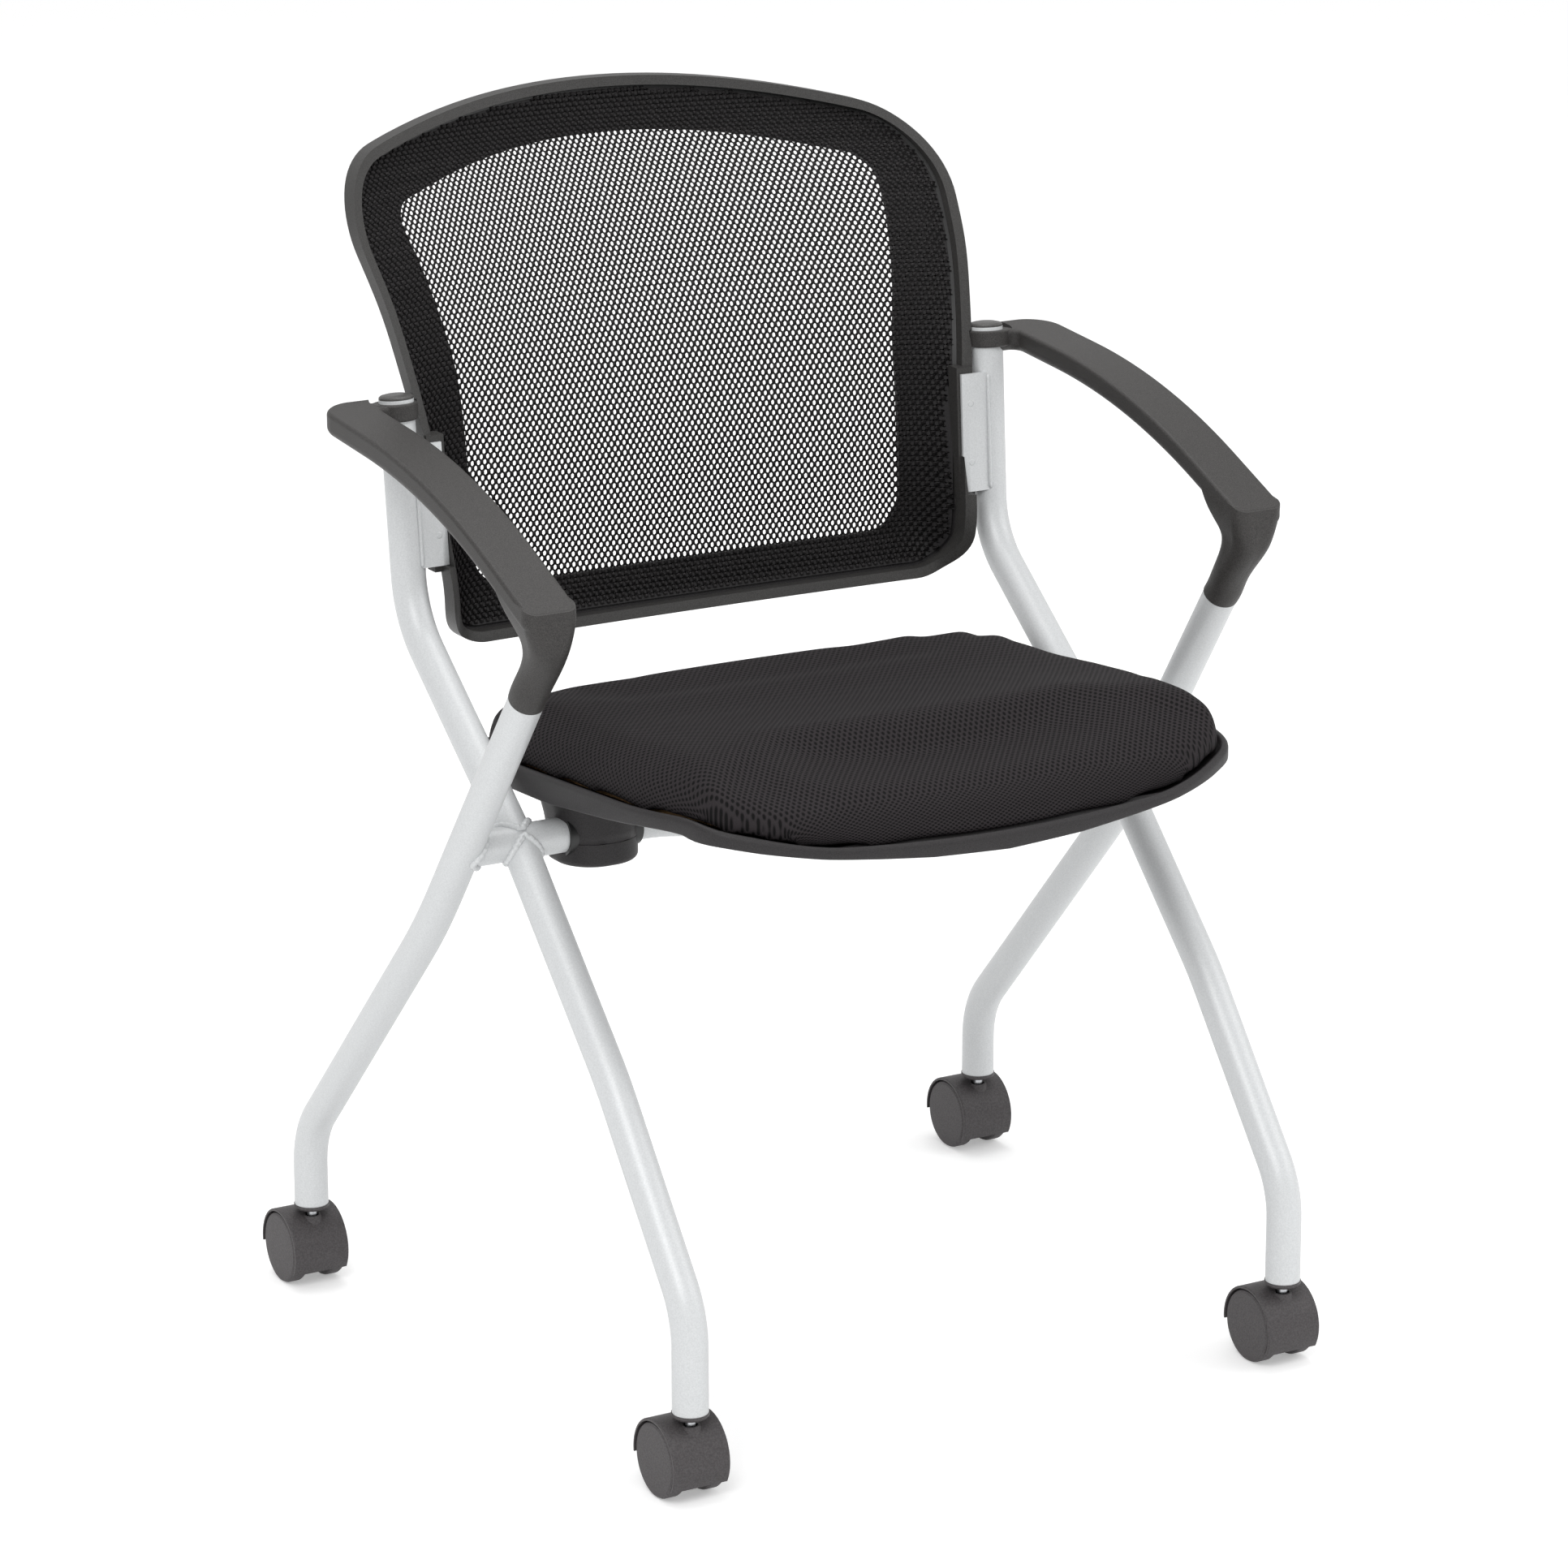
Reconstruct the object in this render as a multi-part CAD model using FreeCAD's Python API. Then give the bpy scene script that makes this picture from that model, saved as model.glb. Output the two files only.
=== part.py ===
"""Nesting armchair: tube frame, tip-up seat, mesh back, armrests and four twin-wheel casters.

Millimetres, +Z up, floor at Z = 0. The chair faces -Y and +X is the sitter's left.
Everything is drawn with the seat's pivot line at Y = 0 and moved by PIVOT_Y when it is written,
which puts the middle of the whole chair on the origin.
"""

import math
import os

import FreeCAD
import Part

V = FreeCAD.Vector

# Placing of the whole chair
PIVOT_Y = -46.0
PIVOT_Z = 405.6

# Steel tube of the frame
TUBE_R = 12.7
TUBE_WALL = 1.5
FIT = 0.1
SEAT_GAP = 0.3
RUNNING = 0.05
WELD_GAP = 0.05

# Side frames: distances from the chair's middle plane
POST_X = 245.0
POST_TOP_SPREAD = 2.0
LEG_SPREAD = 49.0
ARM_SPREAD = 38.6
FRONT_REACH = 245.2
REAR_REACH = 253.3
KNEE_R = 66.0
LEG_KNEE_Z = 133.0
REAR_KNEE_Z = 119.4
LEG_MID_DROP = 136.2
LEG_MID_REACH = 137.2
POST_KNEE_REACH = 161.5
POST_KNEE_RISE = 126.4
POST_LEAN = 0.081
RING_RISE = 269.8
REAR_MID_REACH = 47.6
REAR_MID_DROP = 67.7
SLEEVE_REACH = -92.3
SLEEVE_RISE = 130.6
SLEEVE_DEPTH = 40.0

# Cross tube: straight at the pivots, bowed down in the middle
BOW_DROP = 12.5
BOW_OUTER_X = 132.0
BOW_INNER_X = 54.0
BOW_R = 200.0

# Armrest
ARM_WIDTH = 40.0
ARM_CORNER_R = 9.0
ARM_FRONT = -139.0
ARM_FRONT_RISE = 202.8
ARM_BACK = 186.0
ARM_BACK_RISE = 284.6
ARM_BEND = 13.4
ARM_BEND_RISE = 269.2
ARM_BEND_R = 597.0
ARM_THICK = 17.0
ARM_EDGE_R = 3.0
ARM_BELLY_R = 6.0
RING_R = 16.5
RING_SHIFT = 1.5
RING_CLEAR = 0.6
RING_HEIGHT = 12.5
NECK_WIDTH = 25.0
ROOT_R = 12.95
ARM_SHIFT = 2.4
CAP_R = 12.5
CAP_DOME = 3.6
CAP_PLUG_LENGTH = 16.0

# Back bracket
PLATE = 3.0
PLATE_LOW_Z = 569.0
PLATE_HIGH_Z = 658.0
PLATE_INSET = 8.0
PLATE_START = 4.0
PLATE_REACH = 28.5
PLATE_BEND = 5.0
PLATE_TURN = 1.0
PLATE_SCREW = 21.5
BOSS_DEPTH = 12.0
BOSS_CLEAR = 5.0

# Back: outline seen from the front, and the face of the mesh as heights of a few rows
BACK_BOTTOM_Z = 504.4
BACK_HALF = 216.9
BACK_SIDE_Z = 653.4
BACK_SIDE_HALF = 228.6
BACK_SHOULDER_HALF = 254.3
BACK_SHOULDER_Z = 836.6
BACK_TOP_APEX_Z = 900.2
BACK_TOP_R = 801.0
BACK_LOW_R = 38.0
BACK_SIDE_R = 900.0
BACK_SHOULDER_R = 60.0
WINDOW_BOTTOM_Z = 539.4
WINDOW_HALF = 180.0
WINDOW_SIDE_Z = 688.4
WINDOW_SIDE_HALF = 182.5
WINDOW_SHOULDER_HALF = 202.4
WINDOW_SHOULDER_Z = 808.8
WINDOW_APEX_Z = 855.4
WINDOW_TOP_R = 715.0
WINDOW_LOW_R = 26.0
WINDOW_SIDE_R = 300.0
WINDOW_SHOULDER_R = 18.0
# rows: height, window half, rim half, then depth at the middle, at the window edge, at the rim
BACK_ROWS = (
    (494.4, 178.0, 217.0, 169.8, 168.8, 162.8),
    (518.4, 179.0, 219.0, 180.8, 178.8, 159.8),
    (543.4, 180.0, 221.0, 188.8, 187.8, 153.8),
    (568.4, 180.2, 222.5, 192.1, 189.1, 156.3),
    (598.4, 180.8, 224.5, 194.3, 190.3, 162.1),
    (638.4, 181.5, 227.5, 199.3, 194.0, 169.8),
    (678.4, 183.0, 231.5, 209.3, 199.6, 178.3),
    (713.4, 186.0, 236.5, 222.8, 206.3, 188.3),
    (748.4, 191.0, 241.8, 244.8, 219.8, 201.9),
    (778.4, 198.0, 246.0, 267.8, 236.3, 220.8),
    (803.4, 201.0, 249.6, 290.8, 258.3, 239.8),
    (828.4, 203.0, 253.0, 318.3, 281.8, 257.8),
    (853.4, 205.0, 256.6, 338.8, 296.8, 268.8),
    (883.4, 207.0, 261.0, 349.8, 306.8, 278.8),
)
RIM_WIDTH = 7.0
RIM_FRONT = 5.0
RIM_BACK = 7.0
GROOVE = 3.0
FLANGE = 3.1
MESH = 0.8
CARRIER = 2.6
CARRIER_DEEP = 2.6

# Seat: plan outline from the pivot line, height from the rim's side view
SEAT_FRONT = -262.0
SEAT_BACK = 156.0
SEAT_HALF = 228.5
RIM_RISE = 61.4
RIM_SLOPE = 0.045
WATERFALL_START = -205.0
WATERFALL_R = 70.0
LIP = 14.0
LIP_WALL = 6.5
PAN_FLOOR = 4.0
PAN_EDGE_R = 5.0
BOARD = 8.0
CUSHION_RISE = 26.0
CUSHION_EDGE_R = 16.0
SOFT_GAP = 0.4

# Pivot housing under the seat
HOUSING_X = 181.0
HOUSING_HALF = 31.0
HOUSING_FRONT = -23.0
HOUSING_BACK = 34.0
HOUSING_FRONT_R = 28.0
HOUSING_BACK_R = 20.0
HOUSING_LOW = 22.1
CAP_EDGE_R = 4.0
PARTING_DROP = 4.6
BUSH_WALL = 2.3
BUSH_HALF = 29.0
STOP_HALF = 26.0
STOP_THICK = 8.0
STOP_LOW = 18.0

# Screws
SCREW_R = 2.5
SCREW_HEAD_R = 4.0
SCREW_HEAD = 2.6
SCREW_LENGTH = 14.0
CAP_SCREW_X = 17.0
CAP_SCREW_Y = 24.0

# Casters
WHEEL_R = 27.0
WHEEL_WIDTH = 12.5
CASTER_HALF = 22.0
CASTER_TRAIL = 13.0
HOOD_WALL = 1.9
HOOD_GAP = 0.8
WEB_HALF = 6.5
HOOD_FRONT_Z = 12.0
BOSS_TOP_Z = 54.0
BOSS_TOP_R = 6.65
BOSS_LOW_R = 11.0
BOSS_MOUTH_R = 5.2
BOSS_MOUTH = 4.0
STEM_R = 3.9
AXLE_R = 3.0
AXLE_HALF = 19.5
SOCKET_FLANGE_R = 13.25
SOCKET_FLANGE = 3.4
TUBE_FOOT_Z = 63.4
SOCKET_DEPTH = 24.0


# Plain helpers

def rounded_wire(points, radii, closed=False):
    """Straight lines through the points, with each corner turned into an arc of its radius."""
    count = len(points)
    joins = []
    for i in range(count):
        here = points[i]
        end = not closed and i in (0, count - 1)
        if end or radii[i] <= 0:
            joins.append((here, None, here))
            continue
        before = (points[i - 1] - here).normalize()
        after = (points[(i + 1) % count] - here).normalize()
        half = before.getAngle(after) / 2
        reach = radii[i] / math.tan(half)
        inward = (before + after).normalize()
        middle = here + inward * (radii[i] / math.sin(half) - radii[i])
        joins.append((here + before * reach, middle, here + after * reach))
    edges = []
    for i in range(count):
        start, middle, finish = joins[i]
        if middle is not None:
            edges.append(Part.Arc(start, middle, finish).toShape())
        if i + 1 < count or closed:
            following = joins[(i + 1) % count][0]
            if following.distanceToPoint(finish) > 1e-6:
                edges.append(Part.makeLine(finish, following))
    return Part.Wire(edges)


def sweep(path, radius):
    """A round bar of the given radius along a wire."""
    first = path.Edges[0]
    start = first.valueAt(first.FirstParameter)
    along = first.tangentAt(first.FirstParameter)
    ring = Part.Wire([Part.makeCircle(radius, start, along)])
    return path.makePipeShell([ring], True, False)


def tube(path):
    return sweep(path, TUBE_R).cut(sweep(path, TUBE_R - TUBE_WALL))


def revolve(profile, centre=V(0, 0, 0), axis=V(0, 0, 1)):
    """Turns (radius, height) pairs round the axis through the centre."""
    points = [V(r, 0, h) for r, h in profile]
    face = Part.Face(Part.makePolygon(points + points[:1]))
    solid = face.revolve(V(0, 0, 0), V(0, 0, 1), 360)
    turn = FreeCAD.Rotation(V(0, 0, 1), axis)
    solid.Placement = FreeCAD.Placement(centre, turn)
    return solid


def prism(wire, along):
    return Part.Face(wire).extrude(along)


def one_solid(shape):
    """The single solid of a result, without leftover seams."""
    clean = shape.removeSplitter()
    return max(clean.Solids, key=lambda solid: solid.Volume)


def mirrored(shape):
    return shape.mirror(V(0, 0, 0), V(1, 0, 0))


def write(name, shape):
    moved = shape.copy()
    moved.translate(V(0, PIVOT_Y, 0))
    moved.exportStep(f"parts/{name}.step")


def write_pair(name, shape):
    write(f"left_{name}", shape)
    write(f"right_{name}", mirrored(shape))


# Frame paths on the sitter's left side

def cross_path():
    end = POST_X + ARM_SPREAD + 4.0
    low = PIVOT_Z - BOW_DROP
    points = [
        V(-end, 0, PIVOT_Z),
        V(-BOW_OUTER_X, 0, PIVOT_Z),
        V(-BOW_INNER_X, 0, low),
        V(BOW_INNER_X, 0, low),
        V(BOW_OUTER_X, 0, PIVOT_Z),
        V(end, 0, PIVOT_Z),
    ]
    return rounded_wire(points, [0, BOW_R, BOW_R, BOW_R, BOW_R, 0])


def front_leg_path():
    mid = V(POST_X, -LEG_MID_REACH, PIVOT_Z - LEG_MID_DROP)
    hub = V(POST_X, 0, PIVOT_Z)
    start = hub + (mid - hub).normalize() * (TUBE_R * 0.3)
    points = [start, mid, V(POST_X, -FRONT_REACH, LEG_KNEE_Z), V(POST_X, -FRONT_REACH, TUBE_FOOT_Z)]
    return rounded_wire(points, [0, 300.0, KNEE_R, 0])


def post_point(z):
    """A point of the back post's upper straight at height z."""
    knee_z = PIVOT_Z + POST_KNEE_RISE
    up = z - knee_z
    spread = POST_TOP_SPREAD * up / (RING_RISE - POST_KNEE_RISE)
    return V(POST_X + spread, POST_KNEE_REACH + POST_LEAN * up, z)


def post_top_z():
    return PIVOT_Z + RING_RISE + RING_HEIGHT + 2.5


def post_path():
    knee = V(POST_X, POST_KNEE_REACH, PIVOT_Z + POST_KNEE_RISE)
    hub = V(POST_X, 0, PIVOT_Z)
    start = hub + (knee - hub).normalize() * (TUBE_R * 0.3)
    return rounded_wire([start, knee, post_point(post_top_z())], [0, 70.0, 0])


def sleeve_start():
    """Where the rear leg enters the armrest's sleeve, and the tube's direction there."""
    mid = V(POST_X + LEG_SPREAD - 4.0, REAR_MID_REACH, PIVOT_Z - REAR_MID_DROP)
    joint = V(POST_X + ARM_SPREAD, SLEEVE_REACH, PIVOT_Z + SLEEVE_RISE)
    return mid, joint, (joint - mid).normalize()


def rear_leg_path():
    mid, joint, along = sleeve_start()
    foot_x = POST_X + LEG_SPREAD
    points = [
        V(foot_x, REAR_REACH, TUBE_FOOT_Z),
        V(foot_x, REAR_REACH, REAR_KNEE_Z),
        mid,
        joint,
    ]
    return rounded_wire(points, [0, KNEE_R, 500.0, 0])


# Frame pieces

def make_cross_tube():
    body = tube(cross_path())
    leg = sweep(rear_leg_path(), TUBE_R + WELD_GAP)
    return one_solid(body.cut(leg).cut(mirrored(leg)))


def make_front_leg():
    return one_solid(tube(front_leg_path()).cut(sweep(cross_path(), TUBE_R + WELD_GAP)))


def make_back_post():
    return one_solid(tube(post_path()).cut(sweep(cross_path(), TUBE_R + WELD_GAP)))


def make_rear_leg():
    return one_solid(tube(rear_leg_path()))


def bracket_section(z):
    """Plan section of the bracket plate at height z: flat from the post, its inner edge turned back."""
    post = post_point(z)
    rear = post.y - PLATE_INSET
    front = rear - PLATE
    outer = post.x - PLATE_START
    bend = post.x - PLATE_REACH + PLATE_BEND
    inner = post.x - PLATE_REACH
    points = [
        V(outer, front, z), V(bend, front, z), V(inner, front + PLATE_TURN, z),
        V(inner, rear + PLATE_TURN, z), V(bend, rear, z), V(outer, rear, z),
    ]
    return Part.makePolygon(points + points[:1])


def make_bracket():
    low = bracket_section(PLATE_LOW_Z)
    high = bracket_section(PLATE_HIGH_Z)
    plate = Part.makeLoft([low, high], True, True)
    for z in screw_heights():
        plate = plate.cut(screw_hole(z, SCREW_R))
    return one_solid(plate.cut(sweep(post_path(), TUBE_R + WELD_GAP)))


def screw_heights():
    third = (PLATE_HIGH_Z - PLATE_LOW_Z) / 4
    return [PLATE_LOW_Z + third, PLATE_HIGH_Z - third]


def screw_place(z):
    """Where a screw crosses the plate's rear face at height z."""
    post = post_point(z)
    return V(post.x - PLATE_SCREW, post.y - PLATE_INSET, z)


def screw_hole(z, radius):
    place = screw_place(z)
    return Part.makeCylinder(radius, 60, place + V(0, -20, 0), V(0, 1, 0))


def screw_head_room(z):
    start = screw_place(z) + V(0, BOSS_DEPTH, 0)
    return Part.makeCylinder(SCREW_HEAD_R + FIT, 40, start, V(0, 1, 0))


def make_back_screw(z):
    place = screw_place(z)
    head = Part.makeCylinder(SCREW_HEAD_R, SCREW_HEAD, place + V(0, BOSS_DEPTH, 0), V(0, 1, 0))
    start = place + V(0, -PLATE * 0.8, 0)
    shank = Part.makeCylinder(SCREW_R - FIT, BOSS_DEPTH + PLATE * 0.8 + 0.5, start, V(0, 1, 0))
    return one_solid(head.fuse(shank))


# Armrest

def arm_top_wire(drop, back, front):
    """Side view of the armrest's top line lowered by drop, between two ends."""
    bend = V(0, ARM_BEND, PIVOT_Z + ARM_BEND_RISE - drop)
    rear_slope = (ARM_BACK_RISE - ARM_BEND_RISE) / (ARM_BACK - ARM_BEND)
    front_slope = (ARM_BEND_RISE - ARM_FRONT_RISE) / (ARM_BEND - ARM_FRONT)
    start = bend + V(0, 1, rear_slope) * (back - ARM_BEND)
    finish = bend + V(0, 1, front_slope) * (front - ARM_BEND)
    return start, bend, finish


def arm_block():
    """The pad: its side view carried across, cut to its plan and rounded."""
    top = arm_top_wire(0, ARM_BACK + 20, ARM_FRONT - 20)
    low = arm_top_wire(ARM_THICK, ARM_BACK + 20, ARM_FRONT - 20)
    points = [top[0], top[1], top[2], low[2], low[1], low[0]]
    side = rounded_wire(points, [0, ARM_BEND_R, 0, 0, ARM_BEND_R, 0], True)
    inner = POST_X + ARM_SPREAD + ARM_SHIFT - ARM_WIDTH / 2
    slab = prism(side, V(ARM_WIDTH + 40, 0, 0))
    slab.translate(V(inner - 20, 0, 0))
    outer = inner + ARM_WIDTH
    corners = [
        V(inner, ARM_FRONT, 0),
        V(outer, ARM_FRONT, 0),
        V(outer, ARM_BACK, 0),
        V(POST_X + POST_TOP_SPREAD, ARM_BACK, 0),
        V(POST_X + POST_TOP_SPREAD, ARM_BACK - NECK_WIDTH, 0),
        V(inner, ARM_BACK - NECK_WIDTH, 0),
    ]
    radii = [ARM_CORNER_R, ARM_CORNER_R, 26.0, 0, 0, 5.0]
    plan = rounded_wire(corners, radii, True)
    plan.translate(V(0, 0, PIVOT_Z))
    block = slab.common(prism(plan, V(0, 0, 400)))
    top_edges = long_edges(block, 1)
    block = block.makeFillet(ARM_EDGE_R, top_edges)
    return block.makeFillet(ARM_BELLY_R, long_edges(block, -1))


def long_edges(block, sense):
    """Edges round the largest face that looks up (1) or down (-1)."""
    found = []
    for face in block.Faces:
        low, high, left, right = face.ParameterRange
        normal = face.normalAt((low + high) / 2, (left + right) / 2)
        if normal.z * sense > 0.6:
            found.append(face)
    seen = {}
    for face in found:
        for edge in face.Edges:
            seen.setdefault(edge.hashCode(), []).append(edge)
    return [edges[0] for edges in seen.values() if len(edges) == 1]


def oval(front, rear, half_x, radius, side=V(1, 0, 0)):
    """A rounded rectangle across the arm between a front and a rear point of the side view."""
    corners = [front - side * half_x, front + side * half_x, rear + side * half_x, rear - side * half_x]
    return rounded_wire(corners, [radius] * 4, True)


def arm_root():
    """The tapered root between tube and pad: flush and round below, as wide as the pad above."""
    mid, joint, along = sleeve_start()
    side = (V(1, 0, 0) - along * along.x).normalize()
    square = side.cross(along).normalize()
    nose = V(0, ARM_FRONT, PIVOT_Z + ARM_FRONT_RISE)
    pad_x = POST_X + ARM_SPREAD + ARM_SHIFT
    sections = []
    for reach, half, radius in ((0.0, 1.0, 0.98), (20.0, 1.0, 0.95), (38.0, 1.05, 0.9)):
        centre = joint + along * reach
        front = centre + square * ROOT_R * half
        rear = centre - square * ROOT_R * half
        sections.append(oval(front, rear, ROOT_R * half, ROOT_R * half * radius, side))
    steps = (
        (1.0, -31.0, 35.0, -17.0, 0.76, 12.0), (-0.7, -18.5, 44.0, -6.0, 0.9, 11.0),
        (-0.6, -8.5, 51.0, 4.0, 0.99, 10.0), (0.0, 2.0, 58.0, 13.0, 1.0, ARM_CORNER_R),
    )
    for i, (front_y, front_z, rear_y, rear_z, wide, radius) in enumerate(steps):
        front = nose + V(0, front_y, front_z)
        rear = nose + V(0, rear_y, rear_z)
        front.x = rear.x = joint.x + (pad_x - joint.x) * (i + 1) / len(steps)
        sections.append(oval(front, rear, ARM_WIDTH / 2 * wide, radius))
    return Part.makeLoft(sections, True, False)


def ring_axis():
    """Where the armrest's ring starts on the post, and the post's direction."""
    low = post_point(PIVOT_Z + RING_RISE)
    return low, (post_point(post_top_z()) - low).normalize()


def ring_room():
    """What the ring takes out of the back frame's side wall."""
    centre, lean = ring_axis()
    start = centre + V(RING_SHIFT, 0, 0) - lean * RING_CLEAR
    return Part.makeCylinder(RING_R + RING_CLEAR, RING_HEIGHT + 2 * RING_CLEAR, start, lean)


def below_arm_top():
    """Everything under the armrest's top line, less a hair."""
    start, bend, finish = arm_top_wire(0.2, ARM_BACK + 40, ARM_FRONT - 40)
    drop = V(0, 0, -220)
    points = [start, bend, finish, finish + drop, start + drop]
    under = rounded_wire(points, [0, ARM_BEND_R, 0, 0, 0], True)
    return prism(under, V(ARM_WIDTH * 3, 0, 0)).translated(V(POST_X - ARM_WIDTH, 0, 0))


def make_armrest():
    mid, joint, along = sleeve_start()
    body = arm_block().fuse(arm_root().common(below_arm_top()))
    centre, lean = ring_axis()
    eye = centre + V(RING_SHIFT, 0, 0)
    ring = Part.makeCylinder(RING_R, RING_HEIGHT, eye, lean)
    ring = ring.makeFillet(1.5, [e for e in ring.Edges if isinstance(e.Curve, Part.Circle)])
    above = Part.makeCylinder(RING_R + 2, 90, eye + lean * (RING_HEIGHT - 0.4), lean)
    body = body.cut(above).fuse(ring)
    body = body.cut(Part.makeCylinder(TUBE_R + FIT, 120, centre - lean * 40, lean))
    plug_r = TUBE_R - TUBE_WALL - FIT
    plug = Part.makeCylinder(plug_r, SLEEVE_DEPTH + 4, joint + along * 4, along * -1)
    return one_solid(body.fuse(plug))


def make_post_cap():
    top = post_point(post_top_z())
    lean = ring_axis()[1]
    plug = TUBE_R - TUBE_WALL - RUNNING
    profile = [
        (0, -CAP_PLUG_LENGTH), (plug - 1.5, -CAP_PLUG_LENGTH), (plug, -CAP_PLUG_LENGTH + 2),
        (plug, 0), (CAP_R, 0), (CAP_R, 1.4), (CAP_R * 0.9, CAP_DOME * 0.7),
        (CAP_R * 0.62, CAP_DOME * 0.93), (0, CAP_DOME),
    ]
    return revolve(profile, top, lean)


# Back

def back_surface(offset):
    """The mesh's front face, moved back by offset along its normals, as one smooth surface."""
    grid = []
    for z, window, rim, middle, edge, side in BACK_ROWS:
        row = []
        for x, y in half_row(window, rim, middle, edge, side):
            row.append(V(x, y, z))
        grid.append([V(-p.x, p.y, p.z) for p in reversed(row[1:])] + row)
    moved = []
    for i, row in enumerate(grid):
        line = []
        for j, point in enumerate(row):
            up = grid[min(i + 1, len(grid) - 1)][j] - grid[max(i - 1, 0)][j]
            across = row[min(j + 1, len(row) - 1)] - row[max(j - 1, 0)]
            normal = up.cross(across).normalize()
            if normal.y < 0:
                normal = normal * -1
            line.append(point + normal * offset)
        moved.append(line)
    surface = Part.BSplineSurface()
    surface.interpolate(moved)
    return surface.toShape()


def half_row(window, rim, middle, edge, side):
    """Points of one row from the middle to beyond the rim: a shallow bow, then the border."""
    bow = [(window * share, middle + (edge - middle) * share ** 2) for share in (0, 0.5, 0.85)]
    slope = (side - edge) / (rim - window)
    bow.append((window + 4.0, edge + slope * 2.0))
    bow.append(((window + rim) / 2 + 4.0, edge + slope * ((rim - window) / 2 + 3.0)))
    bow.append((rim + 10.0, side + slope * 10.0))
    return bow


def behind(offset):
    """Everything behind the back's face moved by offset."""
    return back_surface(offset).extrude(V(0, 260, 0))


def inset_outline(corners, radii, inset):
    """A rounded outline, drawn anticlockwise in X and Y, moved inwards by inset."""
    count = len(corners)
    moved = []
    for i in range(count):
        before = (corners[i] - corners[i - 1]).normalize()
        after = (corners[(i + 1) % count] - corners[i]).normalize()
        inward_a = V(-before.y, before.x, 0)
        inward_b = V(-after.y, after.x, 0)
        both = inward_a + inward_b
        moved.append(corners[i] + both * (inset / (1 + inward_a.dot(inward_b))))
    return rounded_wire(moved, [max(radius - inset, 3.0) for radius in radii], True)


def both_halves(half):
    """Corners and radii of a symmetric outline, from (x, y, radius) of its +X half going up."""
    ordered = list(half) + [(-x, y, r) for x, y, r in reversed(half) if x > 0]
    return [V(x, y, 0) for x, y, r in ordered], [r for x, y, r in ordered]


def back_outline(inset):
    corners, radii = both_halves((
        (BACK_HALF, BACK_BOTTOM_Z, BACK_LOW_R),
        (BACK_SIDE_HALF, BACK_SIDE_Z, BACK_SIDE_R),
        (BACK_SHOULDER_HALF, BACK_SHOULDER_Z, BACK_SHOULDER_R),
        (0, BACK_TOP_APEX_Z, BACK_TOP_R),
    ))
    return stand_up(inset_outline(corners, radii, inset))


def window_outline():
    corners, radii = both_halves((
        (WINDOW_HALF, WINDOW_BOTTOM_Z, WINDOW_LOW_R),
        (WINDOW_SIDE_HALF, WINDOW_SIDE_Z, WINDOW_SIDE_R),
        (WINDOW_SHOULDER_HALF, WINDOW_SHOULDER_Z, WINDOW_SHOULDER_R),
        (0, WINDOW_APEX_Z, WINDOW_TOP_R),
    ))
    return stand_up(inset_outline(corners, radii, 0))


def stand_up(wire):
    """Turns an outline drawn in X and Y into X and Z."""
    wire.rotate(V(0, 0, 0), V(1, 0, 0), 90)
    return wire


def back_prism(wire):
    return prism(wire, V(0, 600, 0)).translated(V(0, 60, 0))


def back_band(outer, inner, front, back):
    """The layer between two depths and two outlines of the back."""
    layer = behind(front).cut(behind(back))
    shape = layer.common(back_prism(outer))
    if inner is not None:
        shape = shape.cut(back_prism(inner))
    return shape


def make_back_frame():
    window = window_outline()
    rim = back_band(back_outline(0), back_outline(RIM_WIDTH), -RIM_FRONT, RIM_BACK)
    floor_front = MESH + CARRIER_DEEP + FIT * 2
    floor = back_band(
        back_outline(RIM_WIDTH - 1), back_outline(RIM_WIDTH + GROOVE + 2), floor_front, RIM_BACK)
    flange = back_band(back_outline(RIM_WIDTH + GROOVE), window, MESH + FIT, MESH + FIT + FLANGE)
    frame = rim.fuse(floor).fuse(flange)
    boss = bracket_boss()
    notch = bracket_notch().fuse(ring_room())
    frame = frame.fuse(boss).fuse(mirrored(boss))
    return one_solid(frame.cut(notch).cut(mirrored(notch)))


def bracket_notch():
    """Room for the bracket plate, open to the front, with its screw holes."""
    pieces = []
    slope = PLATE_TURN / PLATE_BEND
    for z in (PLATE_LOW_Z - SEAT_GAP, PLATE_HIGH_Z + SEAT_GAP):
        post = post_point(z)
        rear = post.y - PLATE_INSET + WELD_GAP
        bend = post.x - PLATE_REACH + PLATE_BEND
        inner = post.x - PLATE_REACH - SEAT_GAP
        points = [
            V(post.x, rear - 40, z), V(post.x, rear, z), V(bend, rear, z),
            V(inner, rear + slope * (bend - inner), z), V(inner, rear - 40, z),
        ]
        pieces.append(Part.makePolygon(points + points[:1]))
    notch = Part.makeLoft(pieces, True, True)
    for z in screw_heights():
        notch = notch.fuse(screw_hole(z, SCREW_R)).fuse(screw_head_room(z))
    return notch


def bracket_boss(grow=0.0):
    """Thickening of the frame behind the bracket plate that takes the screws."""
    pieces = []
    for z in (PLATE_LOW_Z - 5 - grow, PLATE_HIGH_Z + 5 + grow):
        post = post_point(z)
        rear = post.y - PLATE_INSET
        inner = post.x - PLATE_REACH - 3 - grow
        outer = post.x - TUBE_R - BOSS_CLEAR
        points = [
            V(inner, rear, z), V(outer, rear, z), V(outer, rear + BOSS_DEPTH, z),
            V(inner, rear + BOSS_DEPTH, z),
        ]
        pieces.append(Part.makePolygon(points + points[:1]))
    return Part.makeLoft(pieces, True, True)


def make_mesh():
    sheet = back_band(back_outline(RIM_WIDTH + SEAT_GAP), None, 0, MESH)
    room = bracket_room()
    return one_solid(sheet.cut(room).cut(mirrored(room)))


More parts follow.
